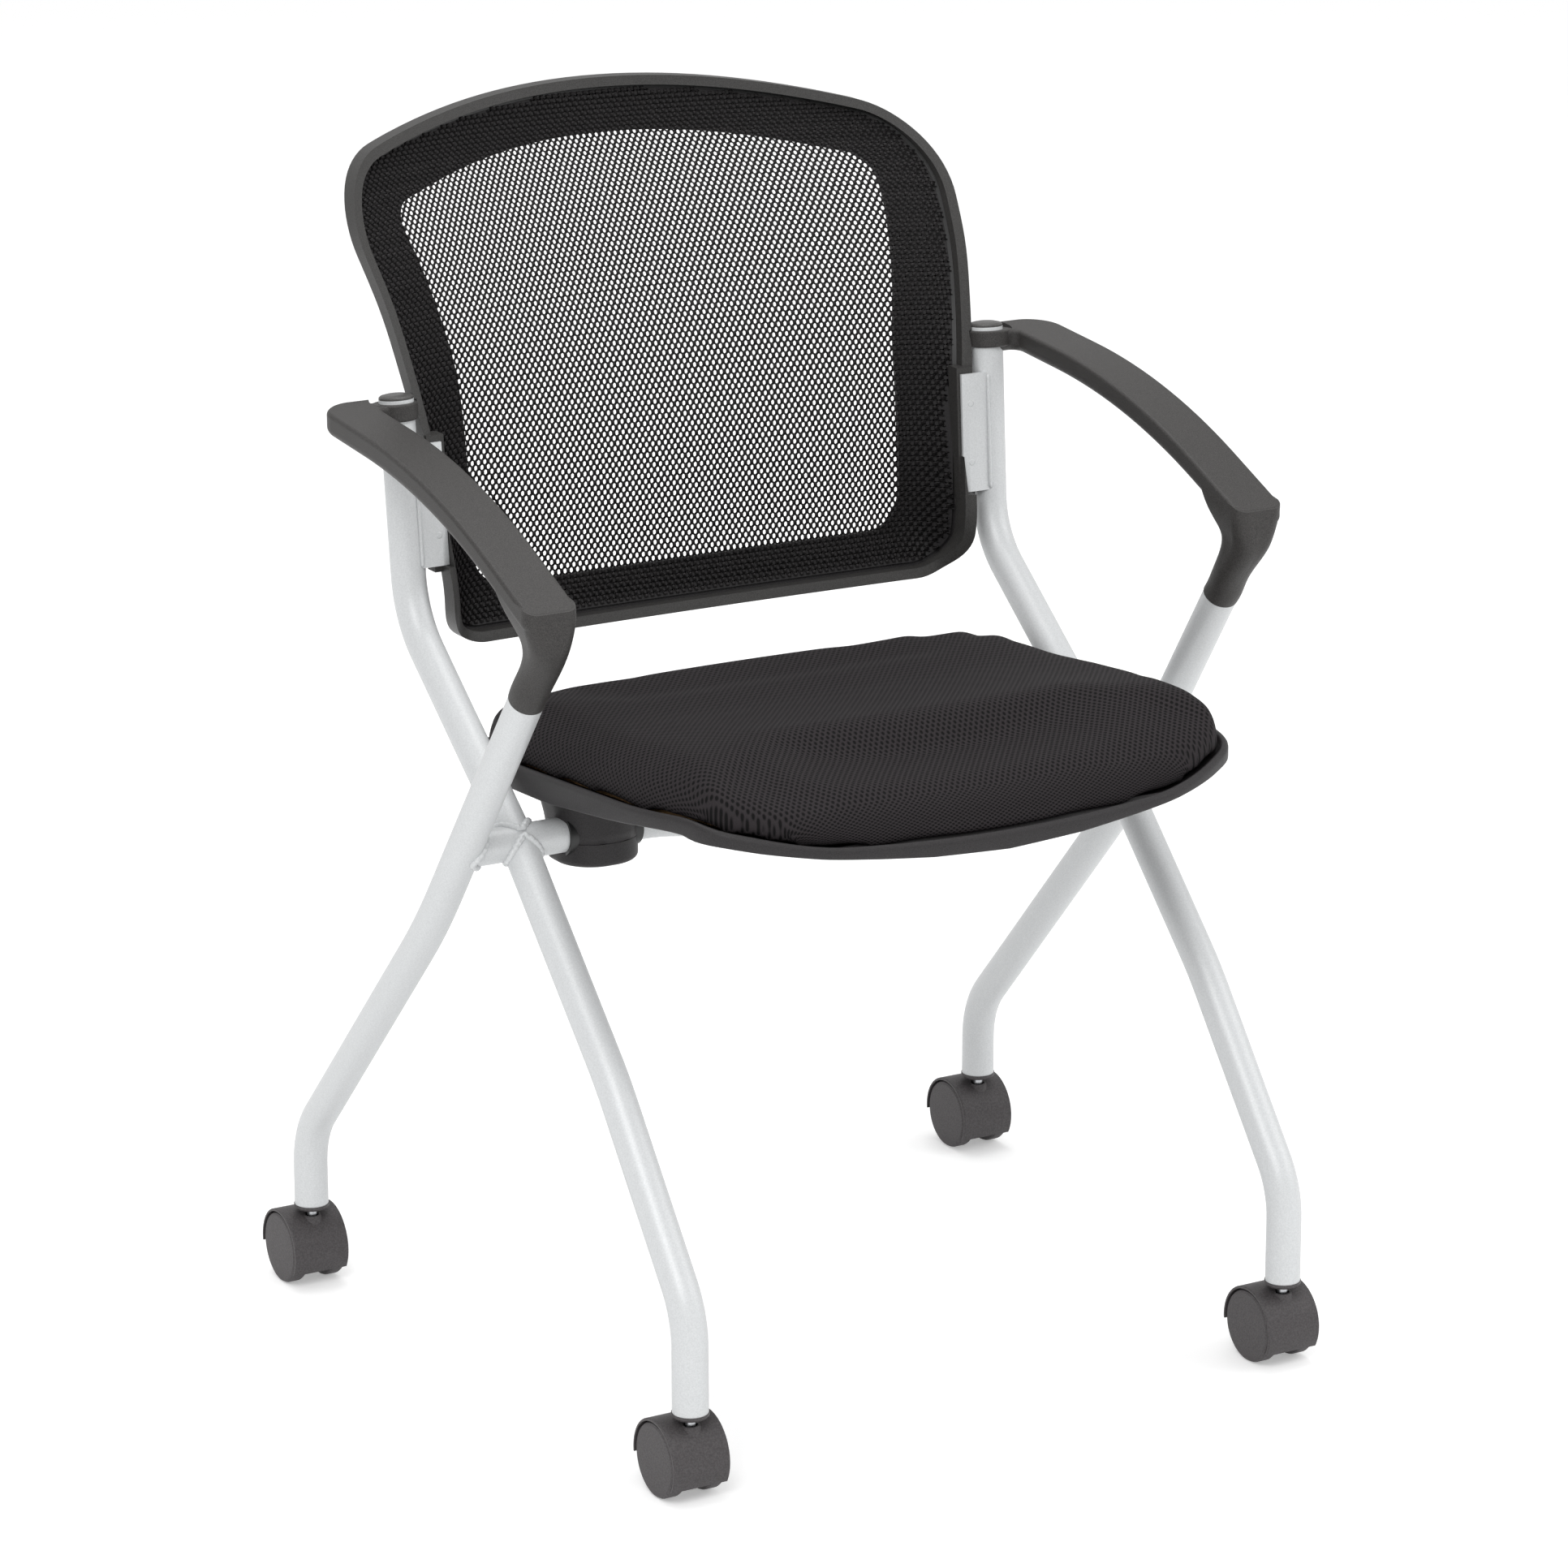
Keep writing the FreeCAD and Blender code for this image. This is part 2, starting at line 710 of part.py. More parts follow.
def make_carrier():
    outer = back_outline(RIM_WIDTH + SEAT_GAP)
    inner = back_outline(RIM_WIDTH + SEAT_GAP + CARRIER)
    strip = back_band(outer, inner, MESH + FIT, MESH + FIT + CARRIER_DEEP)
    room = bracket_room()
    return one_solid(strip.cut(room).cut(mirrored(room)))


def bracket_room():
    """What the bracket and the frame's boss take out of the mesh and its edge strip."""
    return bracket_boss(SEAT_GAP).fuse(bracket_notch())


# Seat

def seat_line(rise, front_y, back_y):
    """Side view of the rim raised by rise: a straight run and a waterfall arc, from back to front."""
    slope = V(0, 1, -RIM_SLOPE).normalize()
    up = V(0, RIM_SLOPE, 1).normalize()
    start = V(0, WATERFALL_START, PIVOT_Z + RIM_RISE + rise)
    centre = start - up * WATERFALL_R
    far = start + slope * ((back_y - WATERFALL_START) / slope.y)
    angle = math.radians(84)
    finish = centre + up * (WATERFALL_R * math.cos(angle)) - slope * (WATERFALL_R * math.sin(angle))
    half = angle / 2
    middle = centre + up * (WATERFALL_R * math.cos(half)) - slope * (WATERFALL_R * math.sin(half))
    return far, start, middle, finish


def seat_layer(low, high):
    """The layer between two heights over the rim's side view, wider than the seat."""
    far_l, start_l, middle_l, finish_l = seat_line(low, 0, SEAT_BACK + 40)
    far_h, start_h, middle_h, finish_h = seat_line(high, 0, SEAT_BACK + 40)
    wire = Part.Wire([
        Part.makeLine(far_h, start_h),
        Part.Arc(start_h, middle_h, finish_h).toShape(),
        Part.makeLine(finish_h, finish_l),
        Part.Arc(finish_l, middle_l, start_l).toShape(),
        Part.makeLine(start_l, far_l),
        Part.makeLine(far_l, far_h),
    ])
    wide = SEAT_HALF + 60
    return prism(wire, V(2 * wide, 0, 0)).translated(V(-wide, 0, 0))


def seat_outline(inset):
    """Plan of the seat moved inwards by inset."""
    corners, radii = both_halves((
        (SEAT_HALF - 128.5, SEAT_FRONT, 500.0),
        (SEAT_HALF, SEAT_FRONT + 24.0, 68.0),
        (SEAT_HALF, 5.0, 220.0),
        (SEAT_HALF - 32.5, SEAT_BACK - 6.0, 62.0),
        (60.0, SEAT_BACK, 600.0),
    ))
    return inset_outline(corners, radii, inset)


def seat_prism(inset):
    wire = seat_outline(inset)
    wire.translate(V(0, 0, PIVOT_Z - 60))
    return prism(wire, V(0, 0, 300))


def housing_outline(inset=0.0):
    inner = HOUSING_X - HOUSING_HALF + inset
    outer = HOUSING_X + HOUSING_HALF - inset
    corners = [
        V(inner, HOUSING_FRONT + inset, 0), V(outer, HOUSING_FRONT + inset, 0),
        V(outer, HOUSING_BACK - inset, 0), V(inner, HOUSING_BACK - inset, 0),
    ]
    front = HOUSING_FRONT_R - inset
    back = HOUSING_BACK_R - inset
    return rounded_wire(corners, [front, front, back, back], True)


def bush_bore(radius):
    start = V(HOUSING_X - HOUSING_HALF - 5, 0, PIVOT_Z)
    return Part.makeCylinder(radius, 2 * HOUSING_HALF + 10, start, V(1, 0, 0))


def bush_outer_r():
    return TUBE_R + RUNNING + BUSH_WALL


def bush_seat():
    """Room for the bush alone, so that both halves hold its ends in place."""
    start = V(HOUSING_X - BUSH_HALF, 0, PIVOT_Z)
    room = Part.makeCylinder(bush_outer_r() + RUNNING, 2 * BUSH_HALF, start, V(1, 0, 0))
    return room.fuse(bush_bore(TUBE_R + SEAT_GAP + 0.3))


def floor_top_z():
    """Level inside the pan's floor over the housing."""
    at_front = RIM_RISE - RIM_SLOPE * (HOUSING_FRONT - WATERFALL_START)
    at_back = RIM_RISE - RIM_SLOPE * (HOUSING_BACK - WATERFALL_START)
    return PIVOT_Z + (at_front + at_back) / 2 - LIP + PAN_FLOOR / 2


def cap_screw_places():
    return [V(HOUSING_X - CAP_SCREW_X, CAP_SCREW_Y, 0), V(HOUSING_X + CAP_SCREW_X, CAP_SCREW_Y, 0)]


def housing_block():
    parting = PIVOT_Z - PARTING_DROP
    outline = housing_outline()
    outline.translate(V(0, 0, parting))
    block = prism(outline, V(0, 0, floor_top_z() - parting))
    block = block.cut(bush_seat())
    for place in cap_screw_places():
        start = V(place.x, place.y, parting - 1)
        block = block.cut(Part.makeCylinder(SCREW_R, SCREW_LENGTH + 1, start))
    return block


def stop_rib():
    """Tongue in front of the cross tube's low middle, which the level seat rests against."""
    front = -TUBE_R - SEAT_GAP - STOP_THICK
    low = PIVOT_Z - BOW_DROP - STOP_LOW * 0.3
    box = Part.makeBox(2 * STOP_HALF, STOP_THICK, floor_top_z() - low, V(-STOP_HALF, front, low))
    edges = [e for e in box.Edges if abs(e.tangentAt(e.FirstParameter).x) > 0.9]
    low_edges = [e for e in edges if e.CenterOfMass.z < low + 1]
    return box.makeFillet(3.0, low_edges)


def make_seat_pan():
    outer = seat_layer(-LIP, 0).common(seat_prism(0))
    outer = outer.makeFillet(PAN_EDGE_R, long_edges(outer, -1))
    hollow = seat_layer(-LIP + PAN_FLOOR, 20).common(seat_prism(LIP_WALL))
    pan = outer.cut(hollow)
    block = housing_block()
    pan = pan.fuse(block).fuse(mirrored(block)).fuse(stop_rib())
    return one_solid(pan)


def make_pivot_cap():
    low = PIVOT_Z - HOUSING_LOW
    outline = housing_outline()
    outline.translate(V(0, 0, low))
    cap = prism(outline, V(0, 0, HOUSING_LOW - PARTING_DROP - SEAT_GAP))
    bottom = [e for e in cap.Edges if abs(e.CenterOfMass.z - low) < 0.1]
    cap = cap.makeFillet(CAP_EDGE_R, bottom)
    cap = cap.cut(bush_seat())
    for place in cap_screw_places():
        start = V(place.x, place.y, low - 1)
        cap = cap.cut(Part.makeCylinder(SCREW_R, 60, start))
        cap = cap.cut(Part.makeCylinder(SCREW_HEAD_R + FIT, 1 + SCREW_HEAD + 1.5, start))
    return one_solid(cap)


def make_cap_screw(place):
    low = PIVOT_Z - HOUSING_LOW + 1.5
    parting = PIVOT_Z - PARTING_DROP
    head = Part.makeCylinder(SCREW_HEAD_R, SCREW_HEAD, V(place.x, place.y, low))
    length = parting + SCREW_LENGTH - 2 - low
    shank = Part.makeCylinder(SCREW_R - RUNNING, length, V(place.x, place.y, low))
    return one_solid(head.fuse(shank))


def make_bush():
    start = V(HOUSING_X - BUSH_HALF, 0, PIVOT_Z)
    long = 2 * BUSH_HALF
    outer = Part.makeCylinder(bush_outer_r(), long, start, V(1, 0, 0))
    return outer.cut(Part.makeCylinder(TUBE_R + RUNNING, long, start, V(1, 0, 0)))


def make_board():
    low = -LIP + PAN_FLOOR + FIT
    layer = seat_layer(low, low + BOARD)
    return one_solid(layer.common(seat_prism(LIP_WALL + SEAT_GAP)))


def make_cushion():
    low = -LIP + PAN_FLOOR + FIT + BOARD + SOFT_GAP
    block = seat_layer(low, CUSHION_RISE).common(seat_prism(LIP_WALL + SOFT_GAP + 0.2))
    return one_solid(block.makeFillet(CUSHION_EDGE_R, long_edges(block, 1)))


# Casters, drawn with the stem on the Z axis and the wheel behind it

def wheel_centre():
    return V(0, CASTER_TRAIL, WHEEL_R)


def make_wheel():
    """The outer wheel on +X: plain dished face outside, blind bore inside."""
    inside = CASTER_HALF - WHEEL_WIDTH
    bore = AXLE_R + RUNNING
    deep = AXLE_HALF + SEAT_GAP
    profile = [
        (bore, inside), (WHEEL_R - 2.5, inside), (WHEEL_R - 0.7, inside + 0.8),
        (WHEEL_R, inside + 2.4), (WHEEL_R, CASTER_HALF - 2.6), (WHEEL_R - 0.9, CASTER_HALF - 0.9),
        (WHEEL_R - 2.6, CASTER_HALF - 0.2), (WHEEL_R * 0.6, CASTER_HALF),
        (0, CASTER_HALF), (0, deep), (bore, deep),
    ]
    return revolve(profile, wheel_centre(), V(1, 0, 0))


def make_axle():
    start = wheel_centre() + V(-AXLE_HALF, 0, 0)
    return Part.makeCylinder(AXLE_R, 2 * AXLE_HALF, start, V(1, 0, 0))


def make_hood():
    """Half shell over both wheels with a web between them and a boss for the stem."""
    centre = wheel_centre()
    outer_r = WHEEL_R + HOOD_GAP + HOOD_WALL
    shell = Part.makeCylinder(outer_r, 2 * CASTER_HALF, centre - V(CASTER_HALF, 0, 0), V(1, 0, 0))
    rims = [e for e in shell.Edges if isinstance(e.Curve, Part.Circle)]
    shell = shell.makeFillet(0.9, rims)
    reach = CASTER_HALF - WEB_HALF + 1
    chamber = Part.makeCylinder(WHEEL_R + HOOD_GAP, reach, centre + V(WEB_HALF, 0, 0), V(1, 0, 0))
    shell = shell.cut(chamber).cut(mirrored(chamber))
    wide = 4 * CASTER_HALF
    corner = centre + V(-wide / 2, 0, 0)
    below = Part.makePolygon([
        V(corner.x, -100, HOOD_FRONT_Z), V(corner.x, centre.y - 9, HOOD_FRONT_Z),
        V(corner.x, centre.y + 7, centre.z - 9), V(corner.x, centre.y + 22, centre.z - 3),
        V(corner.x, 100, centre.z - 3), V(corner.x, 100, -20), V(corner.x, -100, -20),
        V(corner.x, -100, HOOD_FRONT_Z),
    ])
    shell = shell.cut(prism(below, V(wide, 0, 0)))
    boss = revolve([
        (0, centre.z), (BOSS_LOW_R, centre.z + 2), (BOSS_LOW_R, centre.z + 8),
        (BOSS_TOP_R, BOSS_TOP_Z), (0, BOSS_TOP_Z),
    ])
    inside = Part.makeCylinder(outer_r - 0.4, 2 * WEB_HALF, centre - V(WEB_HALF, 0, 0), V(1, 0, 0))
    above = Part.makeBox(60, 60, 60, V(-30, -30, centre.z + 9))
    outside = boss.cut(chamber).cut(mirrored(chamber))
    hood = shell.fuse(outside.common(inside.fuse(above)))
    hood = hood.cut(Part.makeCylinder(AXLE_R, wide, centre - V(wide / 2, 0, 0), V(1, 0, 0)))
    hood = hood.cut(Part.makeCylinder(STEM_R + RUNNING, 80, V(0, 0, stem_low_z())))
    hood = hood.cut(Part.makeCylinder(BOSS_MOUTH_R, 80, V(0, 0, BOSS_TOP_Z - BOSS_MOUTH)))
    return one_solid(hood)


def stem_low_z():
    return WHEEL_R + 4.5


def make_stem():
    low = stem_low_z() + SEAT_GAP
    high = TUBE_FOOT_Z + SOCKET_DEPTH - 4
    return Part.makeCylinder(STEM_R, high - low, V(0, 0, low))


def make_socket():
    plug = TUBE_R - TUBE_WALL - RUNNING
    bottom = TUBE_FOOT_Z - SOCKET_FLANGE
    bore = STEM_R + RUNNING
    profile = [
        (bore, bottom), (SOCKET_FLANGE_R - 1.4, bottom), (SOCKET_FLANGE_R, bottom + 1.6),
        (SOCKET_FLANGE_R, TUBE_FOOT_Z), (plug, TUBE_FOOT_Z), (plug, TUBE_FOOT_Z + SOCKET_DEPTH - 2),
        (plug - 1.2, TUBE_FOOT_Z + SOCKET_DEPTH), (bore, TUBE_FOOT_Z + SOCKET_DEPTH),
    ]
    return revolve(profile)


def caster_places():
    rear_x = POST_X + LEG_SPREAD
    return {
        "front_left": V(POST_X, -FRONT_REACH, 0),
        "front_right": V(-POST_X, -FRONT_REACH, 0),
        "rear_left": V(rear_x, REAR_REACH, 0),
        "rear_right": V(-rear_x, REAR_REACH, 0),
    }


def write_casters():
    wheel = make_wheel()
    pieces = {
        "caster_hood": make_hood(),
        "caster_stem": make_stem(),
        "caster_axle": make_axle(),
        "outer_wheel": wheel,
        "inner_wheel": mirrored(wheel),
        "stem_socket": make_socket(),
    }
    for corner, place in caster_places().items():
        flip = place.x < 0
        for name, shape in pieces.items():
            side = mirrored(shape) if flip else shape
            write(f"{corner}_{name}", side.translated(place))


def main():
    os.makedirs("parts", exist_ok=True)
    write("cross_tube", make_cross_tube())
    write_pair("front_leg", make_front_leg())
    write_pair("back_post", make_back_post())
    write_pair("rear_leg", make_rear_leg())
    write_pair("back_bracket", make_bracket())
    write_pair("armrest", make_armrest())
    write_pair("post_cap", make_post_cap())
    write("back_frame", make_back_frame())
    write("back_mesh", make_mesh())
    write("mesh_carrier", make_carrier())
    for level, z in zip(("lower", "upper"), screw_heights()):
        write_pair(f"{level}_back_screw", make_back_screw(z))
    write("seat_pan", make_seat_pan())
    write("seat_board", make_board())
    write("seat_cushion", make_cushion())
    write_pair("pivot_cap", make_pivot_cap())
    write_pair("pivot_bush", make_bush())
    for side, place in zip(("inner", "outer"), cap_screw_places()):
        write_pair(f"{side}_cap_screw", make_cap_screw(place))
    write_casters()


main()
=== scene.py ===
"""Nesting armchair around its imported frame: seat, net, welds, materials, light and camera.

Lengths are metres. A height or depth "behind the pivot line" counts from PIVOT towards the rear.
"""

import math

import bmesh
import bpy
from mathutils import Matrix, Vector
from mathutils.bvhtree import BVHTree


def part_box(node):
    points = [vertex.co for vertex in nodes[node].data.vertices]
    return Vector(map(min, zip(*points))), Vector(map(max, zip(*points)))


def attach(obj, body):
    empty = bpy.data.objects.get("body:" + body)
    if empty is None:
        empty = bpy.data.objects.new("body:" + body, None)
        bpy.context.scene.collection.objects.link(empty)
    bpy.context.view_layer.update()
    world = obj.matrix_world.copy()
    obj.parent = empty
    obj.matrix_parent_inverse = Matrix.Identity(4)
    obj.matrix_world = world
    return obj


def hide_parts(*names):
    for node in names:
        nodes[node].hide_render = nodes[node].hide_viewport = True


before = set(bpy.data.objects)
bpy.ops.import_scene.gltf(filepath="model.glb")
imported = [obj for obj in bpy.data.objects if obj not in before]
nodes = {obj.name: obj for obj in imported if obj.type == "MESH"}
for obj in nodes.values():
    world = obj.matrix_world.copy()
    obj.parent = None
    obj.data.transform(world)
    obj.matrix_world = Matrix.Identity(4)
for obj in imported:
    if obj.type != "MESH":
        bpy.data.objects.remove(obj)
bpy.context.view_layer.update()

CORNERS = ("front_left", "front_right", "rear_left", "rear_right")
SIDES = ("left", "right")

# Camera of the photograph: place in metres, angles in degrees, lens and sensor in millimetres
CAMERA_AT = (-2.0064, -3.4926, 1.5887)
CAMERA_YAW = 29.841
CAMERA_DOWN = 16.446
CAMERA_ROLL = -0.160
FOCAL = 132.24
SENSOR = 36.0


# Materials

def srgb(red, green, blue):
    """A colour given as seen, 0 to 255, as linear values."""
    values = []
    for level in (red, green, blue):
        share = level / 255
        linear = share / 12.92 if share <= 0.04045 else ((share + 0.055) / 1.055) ** 2.4
        values.append(linear)
    return (*values, 1.0)


class Shader:
    """A small builder for one material's nodes."""

    def __init__(self, name, colour, roughness, metallic=0.0):
        self.material = bpy.data.materials.new(name)
        self.material.use_nodes = True
        self.tree = self.material.node_tree
        self.surface = self.tree.nodes["Principled BSDF"]
        self.surface.inputs["Base Color"].default_value = colour
        self.surface.inputs["Roughness"].default_value = roughness
        self.surface.inputs["Metallic"].default_value = metallic
        self.material.diffuse_color = colour

    def add(self, kind, **settings):
        node = self.tree.nodes.new(kind)
        for key, value in settings.items():
            setattr(node, key, value)
        return node

    def link(self, out_socket, in_socket):
        self.tree.links.new(out_socket, in_socket)

    def place(self):
        return self.add("ShaderNodeTexCoord").outputs["Object"]

    def noise(self, scale, detail=2.0, vector=None):
        node = self.add("ShaderNodeTexNoise")
        node.inputs["Scale"].default_value = scale
        node.inputs["Detail"].default_value = detail
        self.link(vector or self.place(), node.inputs["Vector"])
        return node.outputs["Fac"]

    def ramp(self, factor, stops):
        node = self.add("ShaderNodeValToRGB")
        ramp = node.color_ramp
        while len(ramp.elements) < len(stops):
            ramp.elements.new(0.5)
        for element, (place, colour) in zip(ramp.elements, stops):
            element.position = place
            element.color = colour if hasattr(colour, "__len__") else (colour, colour, colour, 1.0)
        self.link(factor, node.inputs["Fac"])
        return node.outputs["Color"]

    def bump(self, height, strength, distance):
        node = self.add("ShaderNodeBump")
        node.inputs["Strength"].default_value = strength
        node.inputs["Distance"].default_value = distance
        self.link(height, node.inputs["Height"])
        previous = self.surface.inputs["Normal"]
        if previous.is_linked:
            self.link(previous.links[0].from_socket, node.inputs["Normal"])
        self.link(node.outputs["Normal"], previous)


def powder_coat():
    """Light grey paint with a very fine orange-peel and a faint sparkle."""
    shader = Shader("powder_coat", srgb(210, 212, 213), 0.42, 0.12)
    tones = [(0.3, srgb(203, 205, 206)), (0.7, srgb(216, 218, 219))]
    tone = shader.ramp(shader.noise(900.0, 3.0), tones)
    shader.link(tone, shader.surface.inputs["Base Color"])
    shader.bump(shader.noise(1400.0, 2.0), 0.12, 0.0004)
    return shader.material


def textured_plastic(name, dark, light, roughness, grain=1500.0, depth=0.25):
    """Moulded plastic with a fine spark-eroded texture."""
    shader = Shader(name, light, roughness)
    tone = shader.ramp(shader.noise(grain, 2.0), [(0.35, dark), (0.65, light)])
    shader.link(tone, shader.surface.inputs["Base Color"])
    shader.bump(shader.noise(grain, 3.0), depth, 0.0006)
    shader.surface.inputs["Specular IOR Level"].default_value = 0.3
    return shader.material


def metal(name, colour, roughness):
    shader = Shader(name, colour, roughness, 1.0)
    tone = shader.ramp(shader.noise(300.0, 2.0), [(0.3, 0.8), (0.7, 1.0)])
    mix = shader.add("ShaderNodeMix", data_type="RGBA", blend_type="MULTIPLY")
    mix.inputs["Factor"].default_value = 1.0
    mix.inputs["A"].default_value = colour
    shader.link(tone, mix.inputs["B"])
    shader.link(mix.outputs["Result"], shader.surface.inputs["Base Color"])
    return shader.material


def mesh_yarn():
    """Black knitted yarn of the back's mesh."""
    shader = Shader("mesh_yarn", srgb(20, 18, 18), 0.62)
    tones = [(0.35, srgb(18, 16, 17)), (0.65, srgb(42, 39, 40))]
    tone = shader.ramp(shader.noise(1200.0, 2.0), tones)
    shader.link(tone, shader.surface.inputs["Base Color"])
    shader.bump(shader.noise(1600.0, 2.0), 0.4, 0.0006)
    shader.surface.inputs["Specular IOR Level"].default_value = 0.3
    return shader.material


WEAVE_PITCH = 4.5   # Holes of the seat's fabric, in millimetres
WEAVE_ROWS = 3.0
WEAVE_SQUASH = 0.85
WEAVE_REACH = 2.6   # Distance from a hole at which the fabric's ramps end


def lattice_holes(shader, pitch, rows, vector):
    """Distance to the nearest hole of a staggered lattice, in millimetres."""
    found = []
    for shift in (0.0, 0.5):
        scaled = shader.add("ShaderNodeVectorMath", operation="MULTIPLY_ADD")
        shader.link(vector, scaled.inputs[0])
        scaled.inputs[1].default_value = (1 / pitch, 1 / (2 * rows), 1.0)
        scaled.inputs[2].default_value = (shift, shift, 0.5)
        cell = shader.add("ShaderNodeVectorMath", operation="FRACTION")
        shader.link(scaled.outputs[0], cell.inputs[0])
        back = shader.add("ShaderNodeVectorMath", operation="MULTIPLY_ADD")
        shader.link(cell.outputs[0], back.inputs[0])
        back.inputs[1].default_value = (pitch, 2 * rows * WEAVE_SQUASH, 0.0)
        back.inputs[2].default_value = (-pitch / 2, -rows * WEAVE_SQUASH, 0.0)
        length = shader.add("ShaderNodeVectorMath", operation="LENGTH")
        shader.link(back.outputs[0], length.inputs[0])
        found.append(length.outputs["Value"])
    nearest = shader.add("ShaderNodeMath", operation="MINIMUM")
    shader.link(found[0], nearest.inputs[0])
    shader.link(found[1], nearest.inputs[1])
    return nearest.outputs[0]


def seat_fabric():
    """Black spacer fabric: threads round staggered holes, with painted shade darkening the holes.
    """
    shader = Shader("seat_fabric", srgb(44, 41, 42), 0.75)
    place = shader.add("ShaderNodeAttribute", attribute_name="weave").outputs["Vector"]
    near = lattice_holes(shader, WEAVE_PITCH, WEAVE_ROWS, place)
    scaled = shader.add("ShaderNodeMath", operation="DIVIDE")
    shader.link(near, scaled.inputs[0])
    scaled.inputs[1].default_value = WEAVE_REACH
    # Near each hole the colour falls to near-black: painted shade inside holes that have no depth.
    # The threads keep the fabric's dark grey.
    yarns_and_hole_shade = shader.ramp(scaled.outputs[0], [(0.28, srgb(7, 6, 7)), (0.50, srgb(47, 43, 45))])
    fuzz = shader.ramp(shader.noise(2200.0, 2.0), [(0.3, 0.75), (0.7, 1.0)])
    mix = shader.add("ShaderNodeMix", data_type="RGBA", blend_type="MULTIPLY")
    mix.inputs["Factor"].default_value = 1.0
    shader.link(yarns_and_hole_shade, mix.inputs["A"])
    shader.link(fuzz, mix.inputs["B"])
    shader.link(mix.outputs["Result"], shader.surface.inputs["Base Color"])
    raised = shader.ramp(scaled.outputs[0], [(0.25, 0.0), (0.6, 1.0)])
    shader.bump(raised, 0.9, 0.0008)
    shader.surface.inputs["Specular IOR Level"].default_value = 0.15
    return shader.material


def plain(name, colour, roughness):
    """One colour that varies a little."""
    shader = Shader(name, colour, roughness)
    darker = [level * 0.85 for level in colour[:3]] + [1.0]
    tone = shader.ramp(shader.noise(500.0, 2.0), [(0.3, darker), (0.7, colour)])
    shader.link(tone, shader.surface.inputs["Base Color"])
    return shader.material


steel = powder_coat()
arm_plastic = textured_plastic("arm_plastic", srgb(46, 45, 44), srgb(68, 66, 65), 0.5)
back_plastic = textured_plastic("back_plastic", srgb(46, 45, 44), srgb(64, 63, 62), 0.45)
black_plastic = textured_plastic("black_plastic", srgb(26, 24, 25), srgb(36, 34, 35), 0.6)
pan_plastic = textured_plastic("pan_plastic", srgb(36, 34, 35), srgb(50, 48, 49), 0.5)
caster_plastic = textured_plastic(
    "caster_plastic", srgb(66, 63, 64), srgb(80, 77, 78), 0.5, 800.0, 0.1)
wheel_plastic = textured_plastic(
    "wheel_plastic", srgb(68, 65, 66), srgb(82, 79, 80), 0.55, 900.0, 0.15)
cap_plastic = textured_plastic("cap_plastic", srgb(70, 69, 68), srgb(84, 83, 82), 0.4, 900.0, 0.08)
zinc = metal("zinc", srgb(190, 192, 195), 0.3)
black_steel = metal("black_steel", srgb(50, 50, 50), 0.45)
yarn = mesh_yarn()
fabric = seat_fabric()
wood = plain("plywood", srgb(176, 140, 98), 0.7)
bush_plastic = plain("bush_plastic", srgb(30, 30, 30), 0.4)


def paint(node, material):
    mesh = nodes[node].data
    mesh.materials.clear()
    mesh.materials.append(material)


def paint_flange():
    """The frame behind the net is black, and its bead and outside wall charcoal.

    Whole faces are painted, so from behind the line between the two is saw-toothed.
    """
    mesh = nodes["back_frame"].data
    mesh.materials.append(black_plastic)
    tree = back_profile()
    for face in mesh.polygons:
        depth = depth_at(tree, face.center.x, face.center.z)
        if depth is not None and face.center.y > depth:
            face.material_index = 1


def paint_nodes():
    paint("cross_tube", steel)
    paint("back_frame", back_plastic)
    paint_flange()
    paint("back_mesh", yarn)
    paint("mesh_carrier", bush_plastic)
    paint("seat_pan", pan_plastic)
    paint("seat_board", wood)
    paint("seat_cushion", yarn)
    for side in SIDES:
        for name in ("front_leg", "back_post", "rear_leg", "back_bracket"):
            paint(f"{side}_{name}", steel)
        paint(f"{side}_armrest", arm_plastic)
        paint(f"{side}_post_cap", cap_plastic)
        paint(f"{side}_pivot_cap", pan_plastic)
        paint(f"{side}_pivot_bush", bush_plastic)
        for name in ("lower_back_screw", "upper_back_screw", "inner_cap_screw", "outer_cap_screw"):
            paint(f"{side}_{name}", black_steel)
    for corner in CORNERS:
        paint(f"{corner}_caster_hood", caster_plastic)
        paint(f"{corner}_stem_socket", caster_plastic)
        paint(f"{corner}_caster_stem", zinc)
        paint(f"{corner}_caster_axle", zinc)
        paint(f"{corner}_outer_wheel", wheel_plastic)
        paint(f"{corner}_inner_wheel", wheel_plastic)


# Lines and rings shared by the pieces

PIVOT = Vector((0.0, -0.0460, 0.4056))
TUBE_R = 0.0127
POST_X = 0.245

# Lower edge of the seat's shell: distance behind the pivot line, and height
LOWER_EDGE = (
    (-0.262, 0.4333), (-0.225, 0.4456), (-0.202, 0.4533), (-0.190, 0.4560), (-0.178, 0.4556),
    (-0.165, 0.4546), (-0.142, 0.4520), (-0.095, 0.4449), (-0.047, 0.4387), (-0.015, 0.4343),
    (0.002, 0.4332), (0.027, 0.4316), (0.160, 0.4240),
)
# The same edge across the front, which bows down: distance from the middle, and height
FRONT_EDGE = (
    (0.0, 0.4315), (0.060, 0.4342), (0.100, 0.4382), (0.141, 0.4428), (0.183, 0.4490),
    (0.204, 0.4528), (0.216, 0.4540), (0.230, 0.4556),
)
FRONT_START = -0.199
SEAT_MIDDLE = Vector((0.0, -0.040))

# Up to this inset a ring runs parallel to the outline, beyond it shrinks towards the middle
EVEN_INSET = 0.030
SHRINK_SPAN = 0.2

